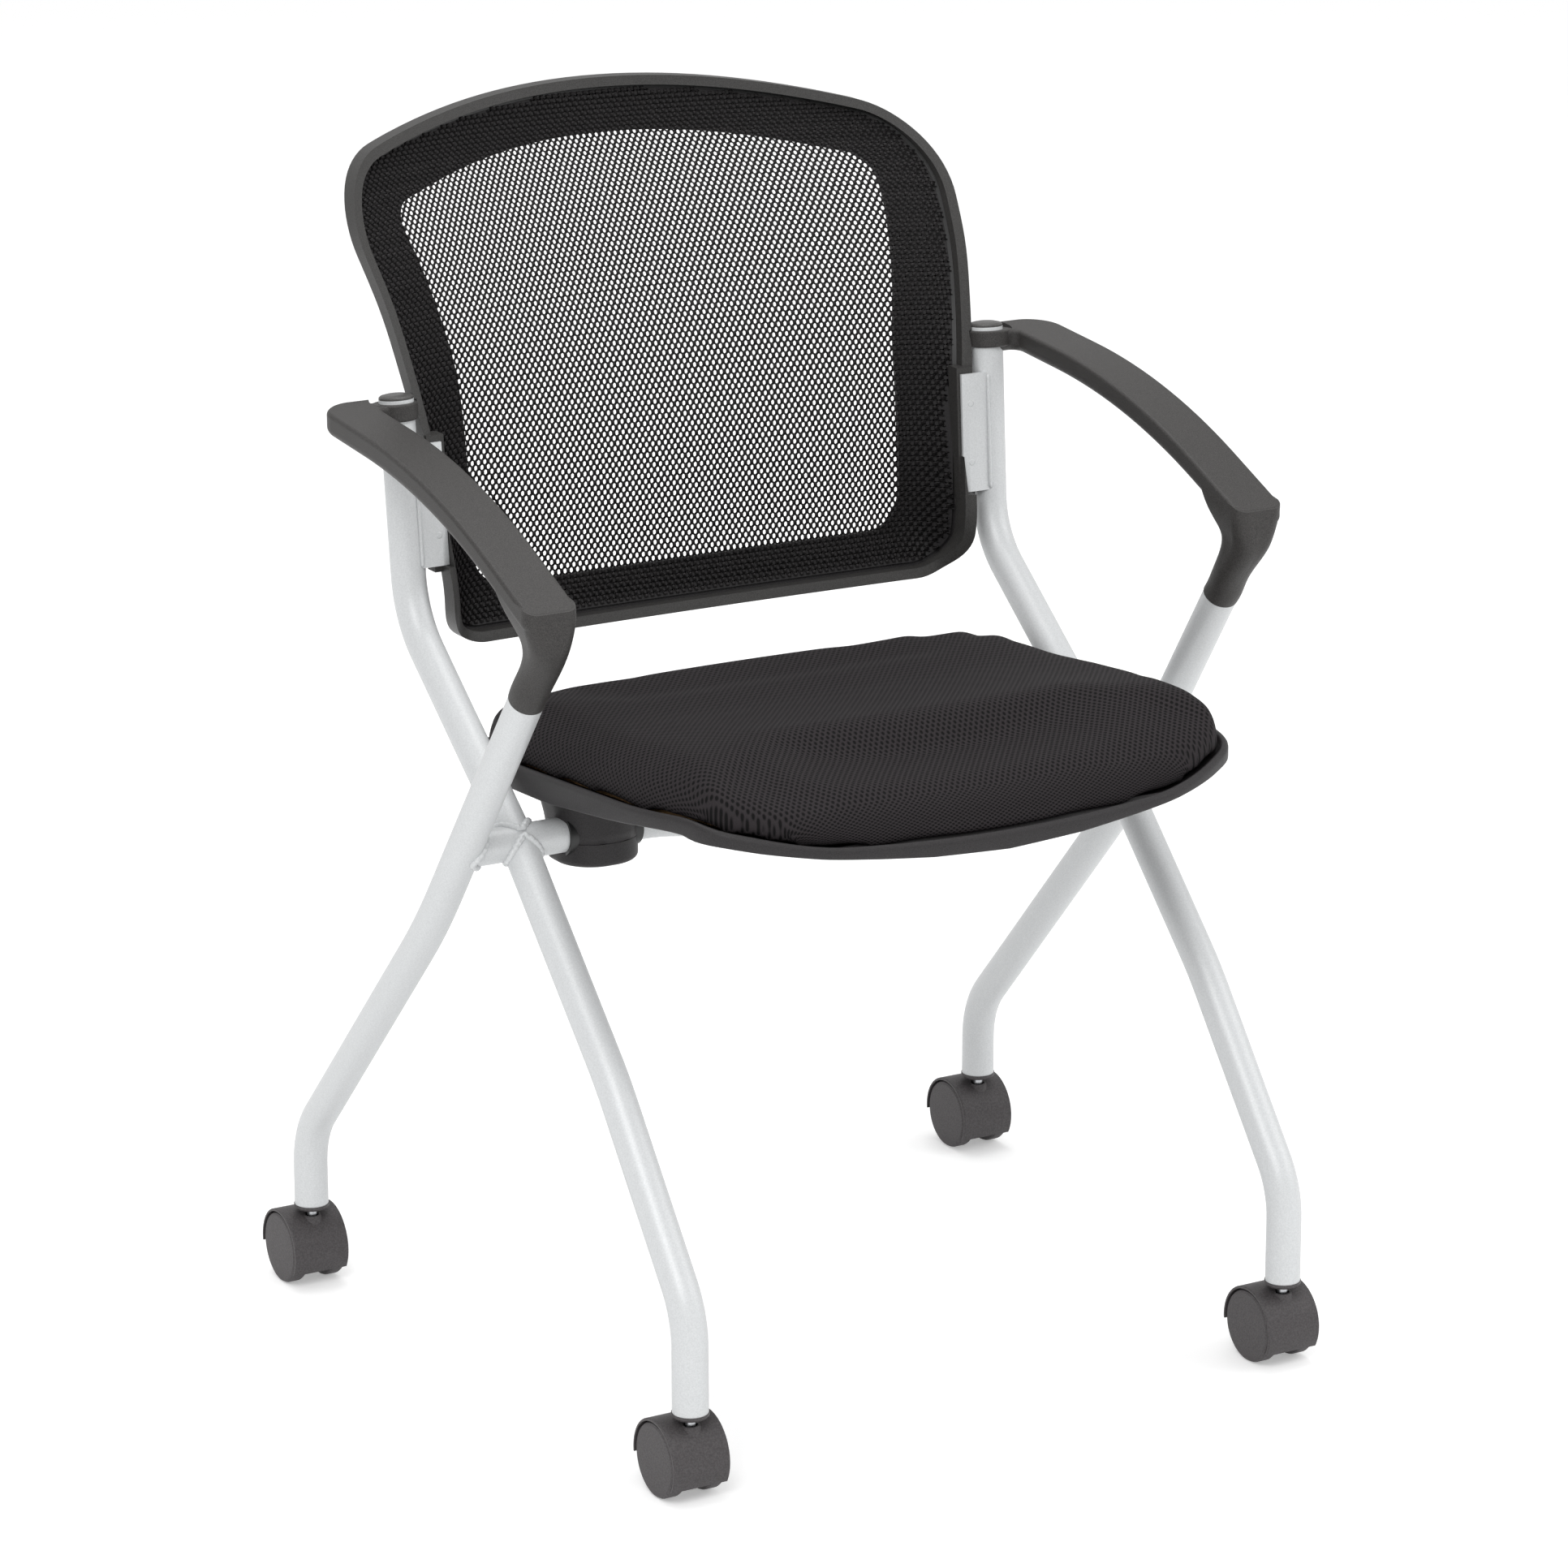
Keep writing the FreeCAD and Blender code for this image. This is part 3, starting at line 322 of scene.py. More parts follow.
# Plan of the seat from the pivot line, left half: corner x, corner y and its radius
SEAT_CORNERS = (
    (0.0602, -0.2609, 1.185), (0.1583, -0.2509, 0.158), (0.2116, -0.2169, 0.0394),
    (0.2294, -0.1441, 0.217), (0.2285, 0.005, 0.200), (0.2260, 0.1520, 0.074),
    (0.060, 0.1560, 0.600),
)
SEAT_STEP = 0.006
BOARD_STEP = 0.008

# Rim of the seat: a straight slope, and a roll at the front
RIM_LEVEL = 0.4542
RIM_LEVEL_AT = -0.014
RIM_SLOPE = 0.08
ROLL_START = -0.180
ROLL_CENTRE = (-0.1897, 0.3459)
ROLL_R = 0.122


def between(table, place):
    """Straight reading between the rows of a table."""
    for (a, low), (b, high) in zip(table, table[1:]):
        if place <= b:
            share = max((place - a) / (b - a), 0.0)
            return low + (high - low) * share
    return table[-1][1]


def rim_height(back):
    """Height of the seat's rim at a distance behind the pivot line."""
    if back > ROLL_START:
        return RIM_LEVEL + RIM_SLOPE * (RIM_LEVEL_AT - back)
    return ROLL_CENTRE[1] + math.sqrt(max(ROLL_R ** 2 - (back - ROLL_CENTRE[0]) ** 2, 1e-6))


def rounded_loop(corners, radii, step):
    """A closed outline with round corners, as points about a step apart."""
    count = len(corners)
    points = []
    for i in range(count):
        here = Vector(corners[i])
        before = (Vector(corners[i - 1]) - here).normalized()
        after = (Vector(corners[(i + 1) % count]) - here).normalized()
        half = before.angle(after) / 2
        reach = radii[i] / math.tan(half)
        start, finish = here + before * reach, here + after * reach
        centre = here + (before + after).normalized() * (radii[i] / math.sin(half))
        first, last = start - centre, finish - centre
        turn = first.angle(last)
        pieces = max(int(turn * radii[i] / step), 2)
        side = 1 if first.x * last.y - first.y * last.x > 0 else -1
        for k in range(pieces + 1):
            angle = side * turn * k / pieces
            points.append(centre + Vector((
                first.x * math.cos(angle) - first.y * math.sin(angle),
                first.x * math.sin(angle) + first.y * math.cos(angle))))
    return points


def from_front(points):
    """The same loop, starting where it crosses the middle at the front."""
    for i, here in enumerate(points):
        before = points[i - 1]
        if before.x < 0 <= here.x and here.y < 0:
            start = before.lerp(here, -before.x / (here.x - before.x))
            return [start] + points[i:] + points[:i]
    return points


def even_loop(points, step):
    """The same closed line with evenly spaced points, starting at the front middle."""
    closed = points + points[:1]
    lengths = [0.0]
    for a, b in zip(closed, closed[1:]):
        lengths.append(lengths[-1] + (b - a).length)
    count = 2 * round(lengths[-1] / step / 2)
    out = []
    j = 0
    for i in range(count):
        wanted = lengths[-1] * i / count
        while lengths[j + 1] < wanted:
            j += 1
        span = lengths[j + 1] - lengths[j]
        out.append(closed[j].lerp(closed[j + 1], (wanted - lengths[j]) / span if span else 0.0))
    return out


def seat_loop(step):
    """Plan of the seat from the pivot line, anticlockwise from the front middle."""
    half = list(SEAT_CORNERS)
    corners = [(x, y) for x, y, r in half] + [(-x, y) for x, y, r in reversed(half)]
    radii = [r for x, y, r in half + half[::-1]]
    return even_loop(from_front(rounded_loop(corners, radii, step)), step)


def normals_of(loop):
    """Inward direction at each point of an anticlockwise loop."""
    out = []
    for i in range(len(loop)):
        along = loop[(i + 1) % len(loop)] - loop[i - 1]
        out.append(Vector((-along.y, along.x)).normalized())
    return out


def new_object(name, mesh, body, material):
    thing = bpy.data.objects.new(name, mesh)
    bpy.context.scene.collection.objects.link(thing)
    mesh.materials.append(material)
    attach(thing, body)
    return thing


def mesh_from(name, verts, faces):
    mesh = bpy.data.meshes.new(name)
    mesh.from_pydata([tuple(v) for v in verts], [], faces)
    mesh.validate()
    mesh.polygons.foreach_set("use_smooth", [True] * len(mesh.polygons))
    mesh.update()
    return mesh


def seat_rings(loop, profile):
    """Rings over the seat's plan. A profile entry gives the inset and height at a point."""
    inward = normals_of(loop)
    rings = []
    for entry in profile:
        ring = []
        for point, side in zip(loop, inward):
            inset, height = entry(point)
            at = point + side * min(inset, EVEN_INSET)
            if inset > EVEN_INSET:
                share = 1 - (inset - EVEN_INSET) / SHRINK_SPAN
                at = SEAT_MIDDLE + (at - SEAT_MIDDLE) * share
            ring.append(Vector((at.x, at.y + PIVOT.y, height)))
        rings.append(ring)
    return rings


def skin(rings):
    """Faces between rings of equal count, and strips across the first and last ring."""
    count = len(rings[0])
    verts = [v for ring in rings for v in ring]
    faces = []
    for r in range(len(rings) - 1):
        low, high = r * count, (r + 1) * count
        for i in range(count):
            j = (i + 1) % count
            faces.append((low + i, low + j, high + j, high + i))
    last = (len(rings) - 1) * count
    for i in range(count // 2):
        a, b = i, i + 1
        c, d = (count - b) % count, (count - a) % count
        faces.append(clean_face((last + a, last + b, last + c, last + d)))
        faces.append(clean_face((d, c, b, a)))
    return verts, [f for f in faces if len(f) > 2]


def clean_face(face):
    """The face without repeated corners."""
    out = []
    for v in face:
        if v not in out:
            out.append(v)
    return tuple(out)


# Seat

def lower_edge(point):
    """Height of the shell's lower edge at a point of its plan."""
    if point.y > FRONT_START:
        return between(LOWER_EDGE, point.y)
    return between(FRONT_EDGE, abs(point.x))


def rim_at(point):
    return rim_height(point.y)


def shell_profile():
    """From the underside, round the lower edge, up the wall and over the lip."""
    low, rim = lower_edge, rim_at
    return (
        lambda p: (0.0050, max(rim(p) - 0.0110, low(p) + 0.0012)),
        lambda p: (0.0050, low(p) + 0.0010),
        lambda p: (0.0042, low(p) + 0.0001),
        lambda p: (0.0014, low(p)),
        lambda p: (0.0003, low(p) + 0.0006),
        lambda p: (0.0, low(p) + 0.0016),
        lambda p: (0.0, rim(p) - 0.0040),
        lambda p: (0.0003, rim(p) - 0.0022),
        lambda p: (0.0014, rim(p) - 0.0008),
        lambda p: (0.0030, rim(p)),
        lambda p: (0.0046, rim(p) - 0.0005),
        lambda p: (0.0056, rim(p) - 0.0018),
        lambda p: (0.0060, rim(p) - 0.0070),
    )


# Pivot housing under the shell, in plan from the pivot line
HOUSING_X = (0.150, 0.212)
HOUSING_Y = (-0.023, 0.034)
HOUSING_RADII = [0.0279, 0.0279, 0.0199, 0.0199]
HOUSING_FLARE = 0.0085
HOUSING_LOW = 0.4010
HOUSING_STEP = 0.004
HOUSING_POINTS = 40


def housing_rings(side):
    """Upper half of a pivot housing: the cap's outline below, spread outwards and back at the pan.

    It is closed and has no bore, so the cross tube runs through it.
    """
    rings = []
    for share in (0.0, 0.15, 0.4, 0.7, 1.0):
        spread = HOUSING_FLARE * share ** 1.6
        inner, outer = HOUSING_X[0], HOUSING_X[1] + spread * 0.8
        front, rear = HOUSING_Y[0], HOUSING_Y[1] + spread
        corners = [(inner, front), (outer, front), (outer, rear), (inner, rear)]
        rounded = rounded_loop(corners, HOUSING_RADII, HOUSING_STEP)
        loop = even_loop(rounded, HOUSING_STEP)
        ring = []
        for i in range(HOUSING_POINTS):
            at = loop[int(i * len(loop) / HOUSING_POINTS)]
            top = rim_at(at) - 0.0100
            height = HOUSING_LOW + (top - HOUSING_LOW) * share
            ring.append(Vector((side * at.x, at.y + PIVOT.y, height)))
        rings.append(ring if side > 0 else ring[::-1])
    return rings


def add_shell():
    """The seat's moulded shell with its two pivot housings. It has no stop rib or screw bores."""
    rings = seat_rings(seat_loop(SEAT_STEP), shell_profile())
    verts, faces = skin(rings)
    for side in (1, -1):
        more, extra = skin(housing_rings(side))
        start = len(verts)
        verts += more
        faces += [tuple(start + v for v in face) for face in extra]
    mesh = mesh_from("seat_shell", verts, faces)
    shell = new_object("seat_shell", mesh, "seat", pan_plastic)
    recalculate(shell)
    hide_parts("seat_pan")


# Section of the board: inset from the seat's outline, and depth below the rim
BOARD = (
    (0.0240, 0.0068), (0.0195, 0.0068), (0.0190, 0.0064),
    (0.0190, 0.0036), (0.0195, 0.0032), (0.0240, 0.0032),
)


def add_board():
    """Plywood board in the shell's recess, with its depth taken at its own points."""
    profile = [lambda p, inset=inset: (inset, 0.0) for inset, _ in BOARD]
    rings = seat_rings(seat_loop(BOARD_STEP), profile)
    for ring, (_, drop) in zip(rings, BOARD):
        for v in ring:
            v.z = rim_height(v.y - PIVOT.y) - drop
    verts, faces = skin(rings)
    board = new_object("pad_board", mesh_from("pad_board", verts, faces), "seat", wood)
    recalculate(board)
    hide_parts("seat_board")


def recalculate(thing):
    """Turns all faces outwards."""
    work = bmesh.new()
    work.from_mesh(thing.data)
    bmesh.ops.recalc_face_normals(work, faces=work.faces)
    work.to_mesh(thing.data)
    work.free()


CREST = 0.0272
CREST_MORE = 0.0034
CREST_FROM = -0.020
CREST_SPAN = 0.120


def crown(back):
    """Height of the cushion's crest above the rim, a little fuller at the rear."""
    share = min(max((back - CREST_FROM) / CREST_SPAN, 0.0), 1.0)
    return CREST + CREST_MORE * share * share * (3 - 2 * share)


def pad_profile():
    """From the tuck behind the lip, up the side and over the top."""
    rim = rim_at
    rise = lambda p, share: rim(p) + crown(p.y) * share
    return (
        lambda p: (0.0150, rim(p) - 0.0014),
        lambda p: (0.0110, rim(p) - 0.0030),
        lambda p: (0.0074, rim(p) - 0.0050),
        lambda p: (0.0066, rim(p) - 0.0010),
        lambda p: (0.0054, rise(p, 0.20)),
        lambda p: (0.0048, rise(p, 0.45)),
        lambda p: (0.0064, rise(p, 0.70)),
        lambda p: (0.0104, rise(p, 0.88)),
        lambda p: (0.0165, rise(p, 0.97)),
        lambda p: (0.0240, rise(p, 1.0)),
        lambda p: (0.0500, rise(p, 1.02)),
        lambda p: (0.1000, rise(p, 1.03)),
    )


VOXEL = 0.005
PRESSURE = 4.0
CLOTH_FRAMES = 20
SWELL_LIMIT = 0.006
SETTLE_PASSES = 14


def inflate(thing, cap):
    """Remeshes a closed piece, swells it as cloth and limits how far a point moves."""
    remesh = thing.modifiers.new("even", "REMESH")
    remesh.mode = "VOXEL"
    remesh.voxel_size = VOXEL
    apply_modifiers(thing)
    start = [v.co.copy() for v in thing.data.vertices]
    pinned = thing.vertex_groups.new(name="held")
    for v in thing.data.vertices:
        back = v.co.y - PIVOT.y
        if v.co.z < rim_height(back) - 0.001:
            pinned.add([v.index], 1.0, "REPLACE")
    cloth = thing.modifiers.new("cloth", "CLOTH")
    settings = cloth.settings
    settings.use_pressure = True
    settings.uniform_pressure_force = PRESSURE
    settings.effector_weights.gravity = 0.0
    settings.vertex_group_mass = "held"
    settings.tension_stiffness = 25.0
    settings.compression_stiffness = 25.0
    settings.bending_stiffness = 2.0
    for number in range(1, CLOTH_FRAMES + 1):
        bpy.context.scene.frame_set(number)
    apply_modifiers(thing)
    for v, was in zip(thing.data.vertices, start):
        move = v.co - was
        if move.length > cap:
            v.co = was + move.normalized() * cap
    settle = thing.modifiers.new("settle", "SMOOTH")
    settle.factor = 0.5
    settle.iterations = SETTLE_PASSES
    apply_modifiers(thing)


def apply_modifiers(thing):
    """Bakes what the modifiers show into the mesh."""
    depsgraph = bpy.context.evaluated_depsgraph_get()
    shown = thing.evaluated_get(depsgraph)
    mesh = bpy.data.meshes.new_from_object(shown, depsgraph=depsgraph)
    thing.modifiers.clear()
    old = thing.data
    thing.data = mesh
    bpy.data.meshes.remove(old)


# Where the pad's sides and front turn down, and the radius they turn with
WRAP_SIDE = (0.205, 0.026)
WRAP_FRONT = (0.236, 0.030)
WRAP_STRETCH = 1.15


def weave_places(mesh):
    """Surface distances across and along the seat in millimetres, for the fabric's lattice."""
    layer = mesh.attributes.new("weave", "FLOAT_VECTOR", "POINT")
    for v in mesh.vertices:
        back = v.co.y - PIVOT.y
        above = v.co.z - rim_height(back) + 0.006
        across = wrapped(abs(v.co.x), WRAP_SIDE[0], above, WRAP_SIDE[1])
        along = -wrapped(-back, WRAP_FRONT[0], v.co.z - 0.452, WRAP_FRONT[1])
        layer.data[v.index].vector = (math.copysign(across, v.co.x) * 1000, along * 1000, 0.0)


def wrapped(place, start, height, radius):
    """Distance along a line that turns down over a round edge at start."""
    if place <= start:
        return place
    turn = math.atan2(place - start, max(height, -0.02) + 1e-6)
    return start + radius * turn * WRAP_STRETCH


def add_cushion():
    """The padded seat: swelled as cloth, then hollowed a little."""
    rings = seat_rings(seat_loop(SEAT_STEP), pad_profile())
    verts, faces = skin(rings)
    mesh = mesh_from("seat_pad", verts, faces)
    pad = bpy.data.objects.new("seat_pad", mesh)
    bpy.context.scene.collection.objects.link(pad)
    recalculate(pad)
    inflate(pad, SWELL_LIMIT)
    smooth = pad.modifiers.new("finer", "SUBSURF")
    smooth.levels = smooth.render_levels = 1
    apply_modifiers(pad)
    shape_seat(pad)
    weave_places(pad.data)
    pad.data.polygons.foreach_set("use_smooth", [True] * len(pad.data.polygons))
    pad.data.materials.clear()
    pad.data.materials.append(fabric)
    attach(pad, "seat")
    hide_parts("seat_cushion")


# Sitting hollow: middle and half length behind the pivot line, half width, depth
HOLLOW_AT = -0.035
HOLLOW_LENGTH = 0.165
HOLLOW_WIDTH = 0.19
HOLLOW_DEPTH = 0.0035
PAD_TOP = 0.012   # Points lower than this above the rim are the pad's side


def shape_seat(pad):
    """The shallow hollow of the sitting area behind the front roll."""
    for v in pad.data.vertices:
        back = v.co.y - PIVOT.y
        rise = v.co.z - rim_height(back)
        if rise < PAD_TOP:
            continue
        length = max(0.0, 1 - ((back - HOLLOW_AT) / HOLLOW_LENGTH) ** 2)
        width = max(0.0, 1 - (v.co.x / HOLLOW_WIDTH) ** 2)
        v.co.z -= HOLLOW_DEPTH * length * width


# Back

HOLE_PITCH = 0.0053
HOLE_ROW = 0.00386
HOLE_TALL = 0.56
HOLE = ((0.0, 0.48), (-0.25, 0.24), (-0.25, -0.24), (0.0, -0.48), (0.25, -0.24), (0.25, 0.24))
ROW_WALK = 0.0002
NET_INSET = 0.0015
NET_THICK = 0.0008


def back_profile():
    """Front triangles of the back's sheet, to find its depth at a place."""
    return BVHTree.FromObject(nodes["back_mesh"], bpy.context.evaluated_depsgraph_get())


def depth_at(tree, x, z):
    """Place in y where a line from the front meets the sheet, or None beside it."""
    hit = tree.ray_cast(Vector((x, -1.0, z)), Vector((0, 1, 0)))
    return hit[0].y if hit[0] is not None else None


def row_heights(tree, low, high, spacing):
    """Heights of rows that lie a spacing apart along the middle of the back."""
    rows, walked, z = [low], 0.0, low
    before = depth_at(tree, 0.0, low)
    while z < high:
        z += ROW_WALK
        here = depth_at(tree, 0.0, z)
        if here is None:
            break
        walked += math.hypot(ROW_WALK, here - before)
        before = here
        if walked >= spacing:
            rows.append(z)
            walked -= spacing
    return rows


def add_back_mesh():
    """Knitted net: a lattice of six-sided holes with two faces and walls, in the sheet's place."""
    tree = back_profile()
    low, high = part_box("back_mesh")
    rows = row_heights(tree, low.z + NET_INSET, high.z, HOLE_ROW)
    top = len(rows) - 1
    across = int(high.x / HOLE_PITCH) + 1
    verts, lattice = [], {}
    for k, z in enumerate(rows):
        pace = (rows[min(k + 1, top)] - rows[max(k - 1, 0)]) / (2 if 0 < k < top else 1)
        for i in range(-across, across + 1):
            x = (i + (0.5 if k % 2 else 0.0)) * HOLE_PITCH
            corner = []
            for dx, dz in HOLE:
                px, pz = x + dx * HOLE_PITCH, z + dz * pace * 2 * HOLE_TALL
                depth = depth_at(tree, px, pz)
                if depth is None:
                    break
                corner.append(Vector((px, depth, pz)))
            if len(corner) < 6:
                continue
            lattice[(k, i)] = len(verts)
            verts += corner
    front = net_faces(lattice)
    count = len(verts)
    behind = [v + Vector((0, NET_THICK, 0)) for v in verts]
    walls = [(b, a, a + count, b + count) for a, b in edge_of(front)]
    rear = [tuple(v + count for v in reversed(face)) for face in front]
    mesh = mesh_from("back_net", verts + behind, front + walls + rear)
    net = new_object("back_net", mesh, "frame", yarn)
    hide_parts("back_mesh")


def net_faces(lattice):
    """Threads between neighbouring holes and the knots where three holes meet.

    Known fault: the threads to the row above list their corners crossed,
    so edge_of takes some of their edges for the net's border and walls are made inside them.
    """
    faces = []
    for (k, i), a in lattice.items():
        shift = 1 if k % 2 else 0
        right = lattice.get((k, i + 1))
        up_left = lattice.get((k + 1, i - 1 + shift))
        up_right = lattice.get((k + 1, i + shift))
        if right is not None:
            faces.append((a + 4, right + 2, right + 1, a + 5))
        if up_right is not None:
            faces.append((a + 5, up_right + 2, up_right + 3, a + 0))
        if up_left is not None:
            faces.append((a + 0, up_left + 3, up_left + 4, a + 1))
        if right is not None and up_right is not None:
            faces.append((a + 5, right + 1, up_right + 3))
        if up_left is not None and up_right is not None:
            faces.append((a + 0, up_right + 2, up_left + 4))
    return faces


def edge_of(faces):
    """Directed edges that no face has the other way round."""
    edges = {}
    for face in faces:
        for edge in zip(face, face[1:] + face[:1]):
            edges[edge] = True
    return [(a, b) for a, b in edges if (b, a) not in edges]


# Welds

WELD_R = 0.0024
PLATE_WELD_R = 0.0014
WELD_LIFT = 0.0003
WELD_POINTS = 120
PLATE_WELD_POINTS = 40
RIPPLE = 0.0042
PLATE_RIPPLE = 0.006
SWELL = 0.13
TAPER = 0.3

# Direction in y and z of the tubes that leave the hub, and of the rear leg at the cross tube's end
HUB_TUBES = {"leg": (-0.1372, -0.1362), "post": (0.1615, 0.1264)}
REAR_LEG = (-0.1399, 0.1983)
REAR_LEG_X = 0.2872

# The post's straight upper part: height where it starts, length, and its lean in x and y
POST_START = 0.532
POST_LENGTH = 0.1434
POST_OUT = 0.002
POST_BACK = 0.1615
POST_LEAN = 0.081

SCREW_LEVELS = (("lower", 0.59125), ("upper", 0.63575))
SCREW_END = ((0.0026, 0.0008), (0.0026, 0.00005), (0.0018, -0.00005))   # Radius and depth
SCREW_SIDES = 24
PLATE_WELDS = (("front", -0.0118, 0.0), ("rear", -0.0072, 0.0043))   # Place, depth, inset


def post_at(z):
    """Middle of the left post in x and y at a height."""
    up = z - POST_START
    return POST_X + POST_OUT * up / POST_LENGTH, POST_BACK + POST_LEAN * up + PIVOT.y


def bead(name, path, radius, closed=False, ripple=RIPPLE):
    """A laid weld along a line, swelling a little at every ripple."""
    sides = 10
    verts, faces = [], []
    walked = 0.0
    for i, point in enumerate(path):
        following = path[(i + 1) % len(path)] if closed or i + 1 < len(path) else point
        before = path[i - 1] if closed or i else point
        along = (following - before).normalized()
        across = along.orthogonal().normalized()
        if i:
            across = (last - along * last.dot(along)).normalized()
        last = across
        other = along.cross(across)
        swell = radius * (1 + SWELL * math.sin(2 * math.pi * walked / ripple))
        if not closed and i in (0, len(path) - 1):
            swell *= TAPER
        for k in range(sides):
            angle = 2 * math.pi * k / sides
            verts.append(point + (across * math.cos(angle) + other * math.sin(angle)) * swell)
        walked += (following - point).length
    rounds = len(path) if closed else len(path) - 1
    for i in range(rounds):
        j = (i + 1) % len(path)
        for k in range(sides):
            m = (k + 1) % sides
            faces.append((i * sides + k, i * sides + m, j * sides + m, j * sides + k))
    if not closed:
        faces.append(tuple(range(sides))[::-1])
        faces.append(tuple((len(path) - 1) * sides + k for k in range(sides)))
    weld = new_object(name, mesh_from(name, verts, faces), "frame", steel)
    recalculate(weld)


def add_welds():
    """Beads round the hub's tubes, at the cross tube's ends and along the bracket plates."""
    for side, sign in (("left", 1), ("right", -1)):
        hub = Vector((sign * POST_X, PIVOT.y, PIVOT.z))
        for name, (y, z) in HUB_TUBES.items():
            along = Vector((0, y, z)).normalized()
            over = Vector((1, 0, 0)).cross(along)
            path = []
            for i in range(WELD_POINTS):
                angle = 2 * math.pi * i / WELD_POINTS
                reach = TUBE_R * math.sqrt(math.cos(angle) ** 2 + 0.015) + 0.0006
                round_leg = Vector((1, 0, 0)) * math.cos(angle) + over * math.sin(angle)
                path.append(hub + round_leg * (TUBE_R + WELD_LIFT) + along * reach)
            bead(f"{side}_{name}_weld", path, WELD_R, closed=True)
        end_weld(side, sign)
        bracket_weld(side, sign)


def add_screw_ends():
    """Painted ends of the back screws, flush in the bracket plates."""
    sides = SCREW_SIDES
    for side, sign in (("left", 1), ("right", -1)):
        for level, z in SCREW_LEVELS:
            x, y = post_at(z)
            x = sign * (x - 0.0215)
            y = y - 0.0080 - 0.0030
            verts, faces = [], []
            for radius, depth in SCREW_END:
                for k in range(sides):
                    angle = 2 * math.pi * k / sides
                    over, up = radius * math.cos(angle), radius * math.sin(angle)
                    verts.append((x + over, y + depth, z + up))
            for r in range(len(SCREW_END) - 1):
                low, high = r * sides, (r + 1) * sides
                for k in range(sides):
                    m = (k + 1) % sides
                    faces.append((low + k, low + m, high + m, high + k))
            last = (len(SCREW_END) - 1) * sides
            faces += [tuple(range(sides))[::-1], tuple(last + k for k in range(sides))]
            mesh = mesh_from("screw_end", verts, faces)
            end = new_object(f"{side}_{level}_screw_end", mesh, "frame", steel)
            recalculate(end)


def end_weld(side, sign):
    """Where the cross tube's end meets the rear leg."""
    leg = Vector((0, *REAR_LEG)).normalized()
    over = Vector((1, 0, 0)).cross(leg)
    path = []
    for i in range(WELD_POINTS):
        angle = 2 * math.pi * i / WELD_POINTS
        off = TUBE_R * math.cos(angle)
        x = REAR_LEG_X - math.sqrt(max(TUBE_R ** 2 - off ** 2, 0.0) + 0.0000024)
        round_end = over * math.cos(angle) + leg * math.sin(angle)
        path.append(Vector((sign * x, PIVOT.y, PIVOT.z)) + round_end * (TUBE_R + WELD_LIFT))
    bead(f"{side}_end_weld", path, WELD_R, closed=True)


def bracket_weld(side, sign):
    """Run of weld between the bracket plate and the post, front and rear."""
    for place, depth, inset in PLATE_WELDS:
        path = []
        for i in range(PLATE_WELD_POINTS):
            z = 0.570 + 0.087 * i / (PLATE_WELD_POINTS - 1)
            x, y = post_at(z)
            path.append(Vector((sign * (x - 0.0062 - inset), y + depth, z)))
        bead(f"{side}_bracket_{place}_weld", path, PLATE_WELD_R, ripple=PLATE_RIPPLE)


# Floor, light and camera

FLOOR_SIZE = 60.0
FLOOR_DROP = 0.0002
FLOOR_GREY = 0.86
FLOOR_GLOW = 0.32   # Seen by the camera and in reflections only, so that it lights nothing
WORLD_GLOW = 0.75

# Name, place, target, size and power
LAMPS = (
    ("key", (-2.2, -2.6, 3.2), (0, 0, 0.5), 2.2, 60.0),
    ("fill", (2.8, -2.0, 2.2), (0, 0, 0.5), 2.5, 25.0),
    ("top", (0.2, 0.6, 3.6), (0, 0, 0.5), 2.5, 40.0),
)


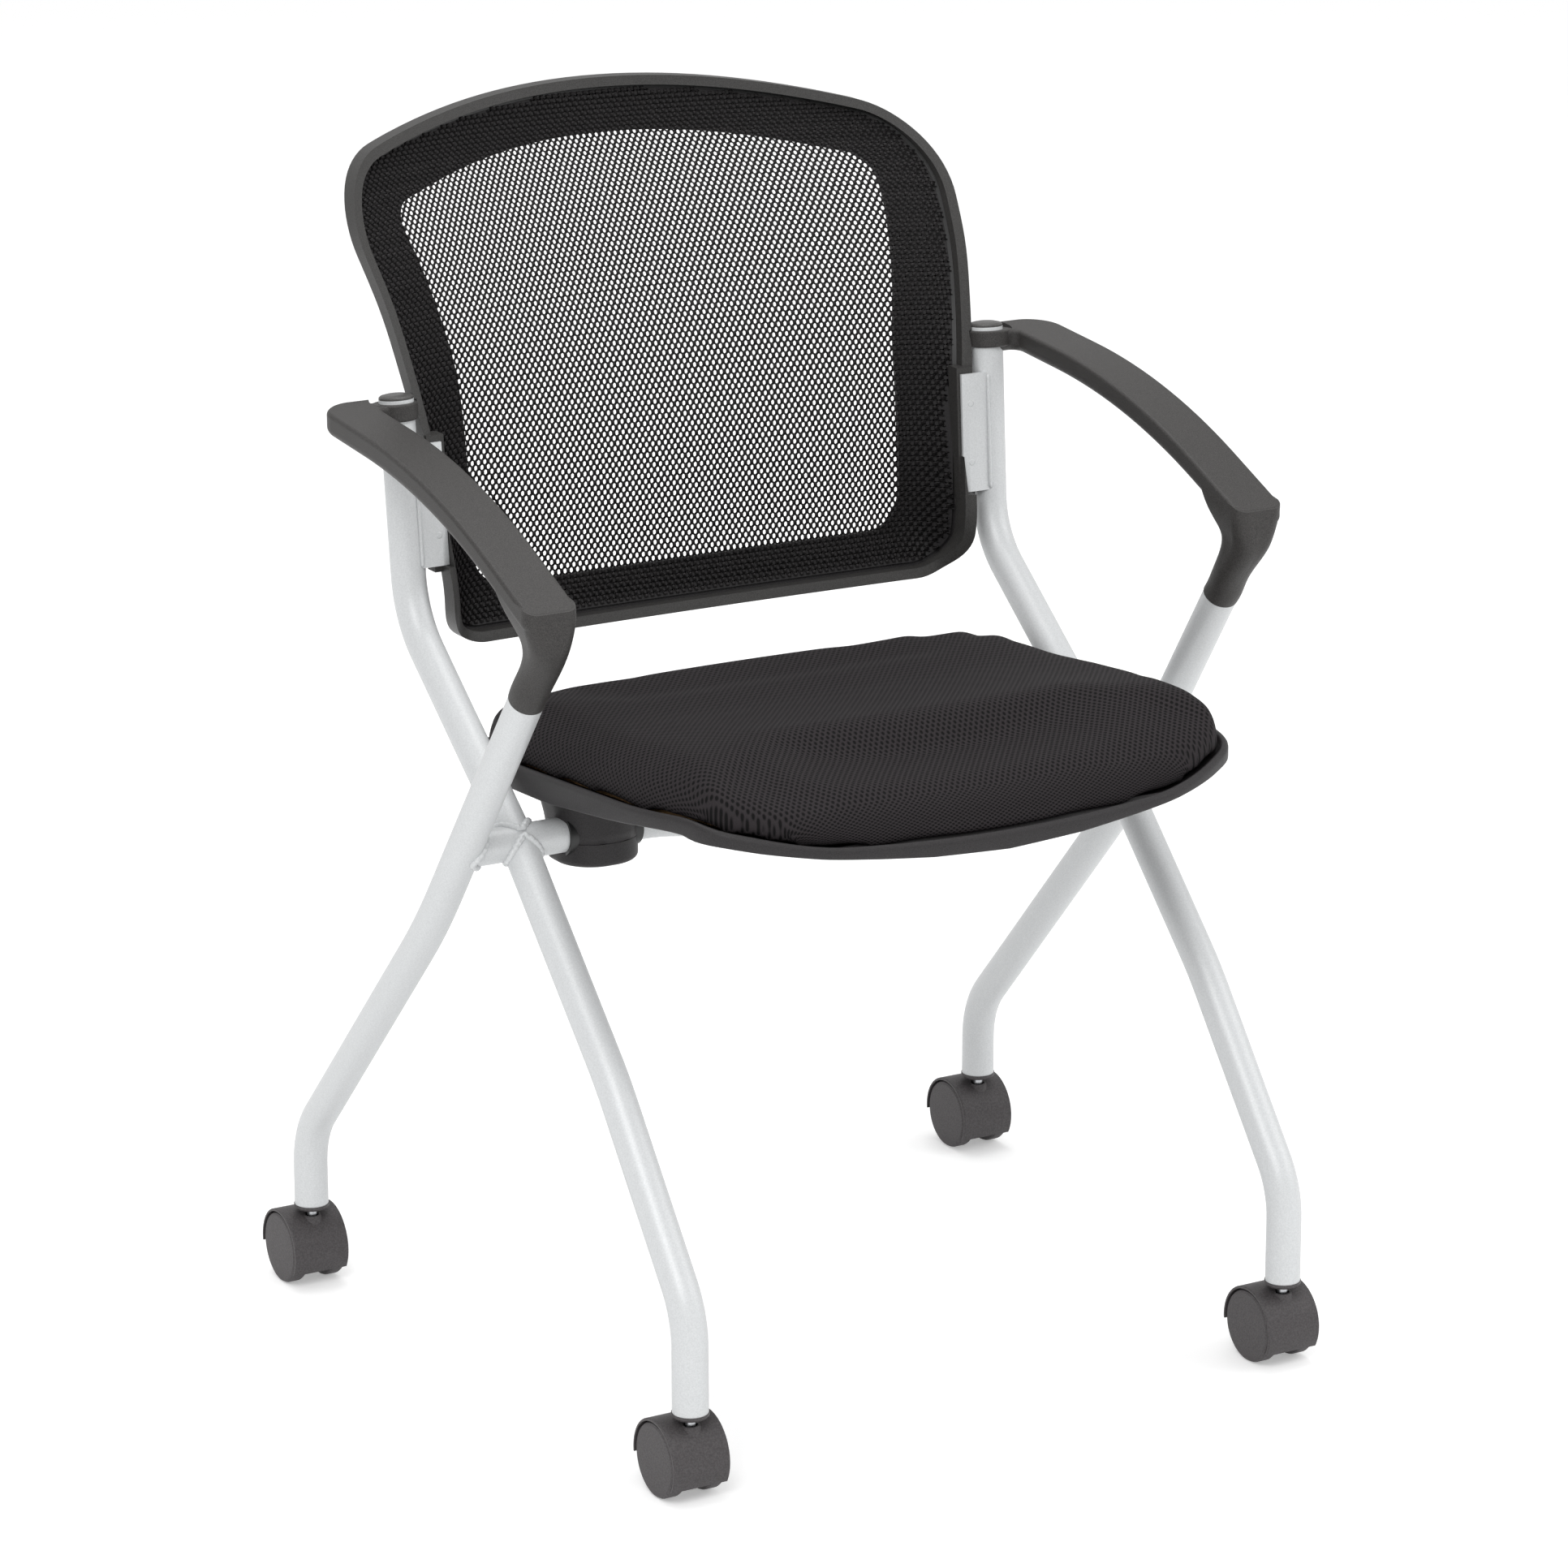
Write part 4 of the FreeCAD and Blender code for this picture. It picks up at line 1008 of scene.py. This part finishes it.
def make_stage():
    bpy.ops.mesh.primitive_plane_add(size=FLOOR_SIZE, location=(0, 0, -FLOOR_DROP))
    floor = bpy.context.object
    floor.name = "floor"
    material = bpy.data.materials.new("pale_floor")
    material.use_nodes = True
    tree = material.node_tree
    surface = tree.nodes["Principled BSDF"]
    surface.inputs["Base Color"].default_value = (FLOOR_GREY, FLOOR_GREY, FLOOR_GREY, 1.0)
    surface.inputs["Roughness"].default_value = 0.9
    surface.inputs["Specular IOR Level"].default_value = 0.1
    surface.inputs["Emission Color"].default_value = (1.0, 1.0, 1.0, 1.0)
    seen = tree.nodes.new("ShaderNodeLightPath")
    either = tree.nodes.new("ShaderNodeMath")
    either.operation = "MAXIMUM"
    tree.links.new(seen.outputs["Is Camera Ray"], either.inputs[0])
    tree.links.new(seen.outputs["Is Glossy Ray"], either.inputs[1])
    lift = tree.nodes.new("ShaderNodeMath")
    lift.operation = "MULTIPLY"
    tree.links.new(either.outputs[0], lift.inputs[0])
    lift.inputs[1].default_value = FLOOR_GLOW
    tree.links.new(lift.outputs[0], surface.inputs["Emission Strength"])
    floor.data.materials.append(material)


def add_light(name, place, target, size, power):
    data = bpy.data.lights.new(name, "AREA")
    data.shape = "DISK"
    data.size = size
    data.energy = power
    lamp = bpy.data.objects.new(name, data)
    lamp.location = place
    lamp.rotation_euler = (Vector(target) - Vector(place)).to_track_quat("-Z", "Y").to_euler()
    bpy.context.scene.collection.objects.link(lamp)


def make_light():
    world = bpy.data.worlds.new("studio")
    bpy.context.scene.world = world
    world.use_nodes = True
    tree = world.node_tree
    background = tree.nodes["Background"]
    background.inputs["Color"].default_value = (1.0, 1.0, 1.0, 1.0)
    background.inputs["Strength"].default_value = WORLD_GLOW
    for lamp in LAMPS:
        add_light(*lamp)


def make_camera():
    data = bpy.data.cameras.new("camera")
    data.sensor_width = SENSOR
    data.sensor_fit = "HORIZONTAL"
    data.lens = FOCAL
    data.clip_end = 100.0
    camera = bpy.data.objects.new("camera", data)
    yaw = math.radians(CAMERA_YAW)
    down = math.radians(CAMERA_DOWN)
    level = math.cos(down)
    ahead = Vector((math.sin(yaw) * level, math.cos(yaw) * level, -math.sin(down)))
    right = ahead.cross(Vector((0, 0, 1))).normalized()
    above = right.cross(ahead)
    roll = math.radians(CAMERA_ROLL)
    right, above = (
        right * math.cos(roll) + above * math.sin(roll),
        above * math.cos(roll) - right * math.sin(roll),
    )
    turn = Matrix((right, above, -ahead)).transposed().to_4x4()
    camera.matrix_world = Matrix.Translation(CAMERA_AT) @ turn
    bpy.context.scene.collection.objects.link(camera)
    bpy.context.scene.camera = camera


def main():
    paint_nodes()
    add_shell()
    add_board()
    add_cushion()
    add_back_mesh()
    add_welds()
    add_screw_ends()
    make_stage()
    make_light()
    make_camera()
    bpy.context.scene.view_settings.view_transform = "Standard"


main()
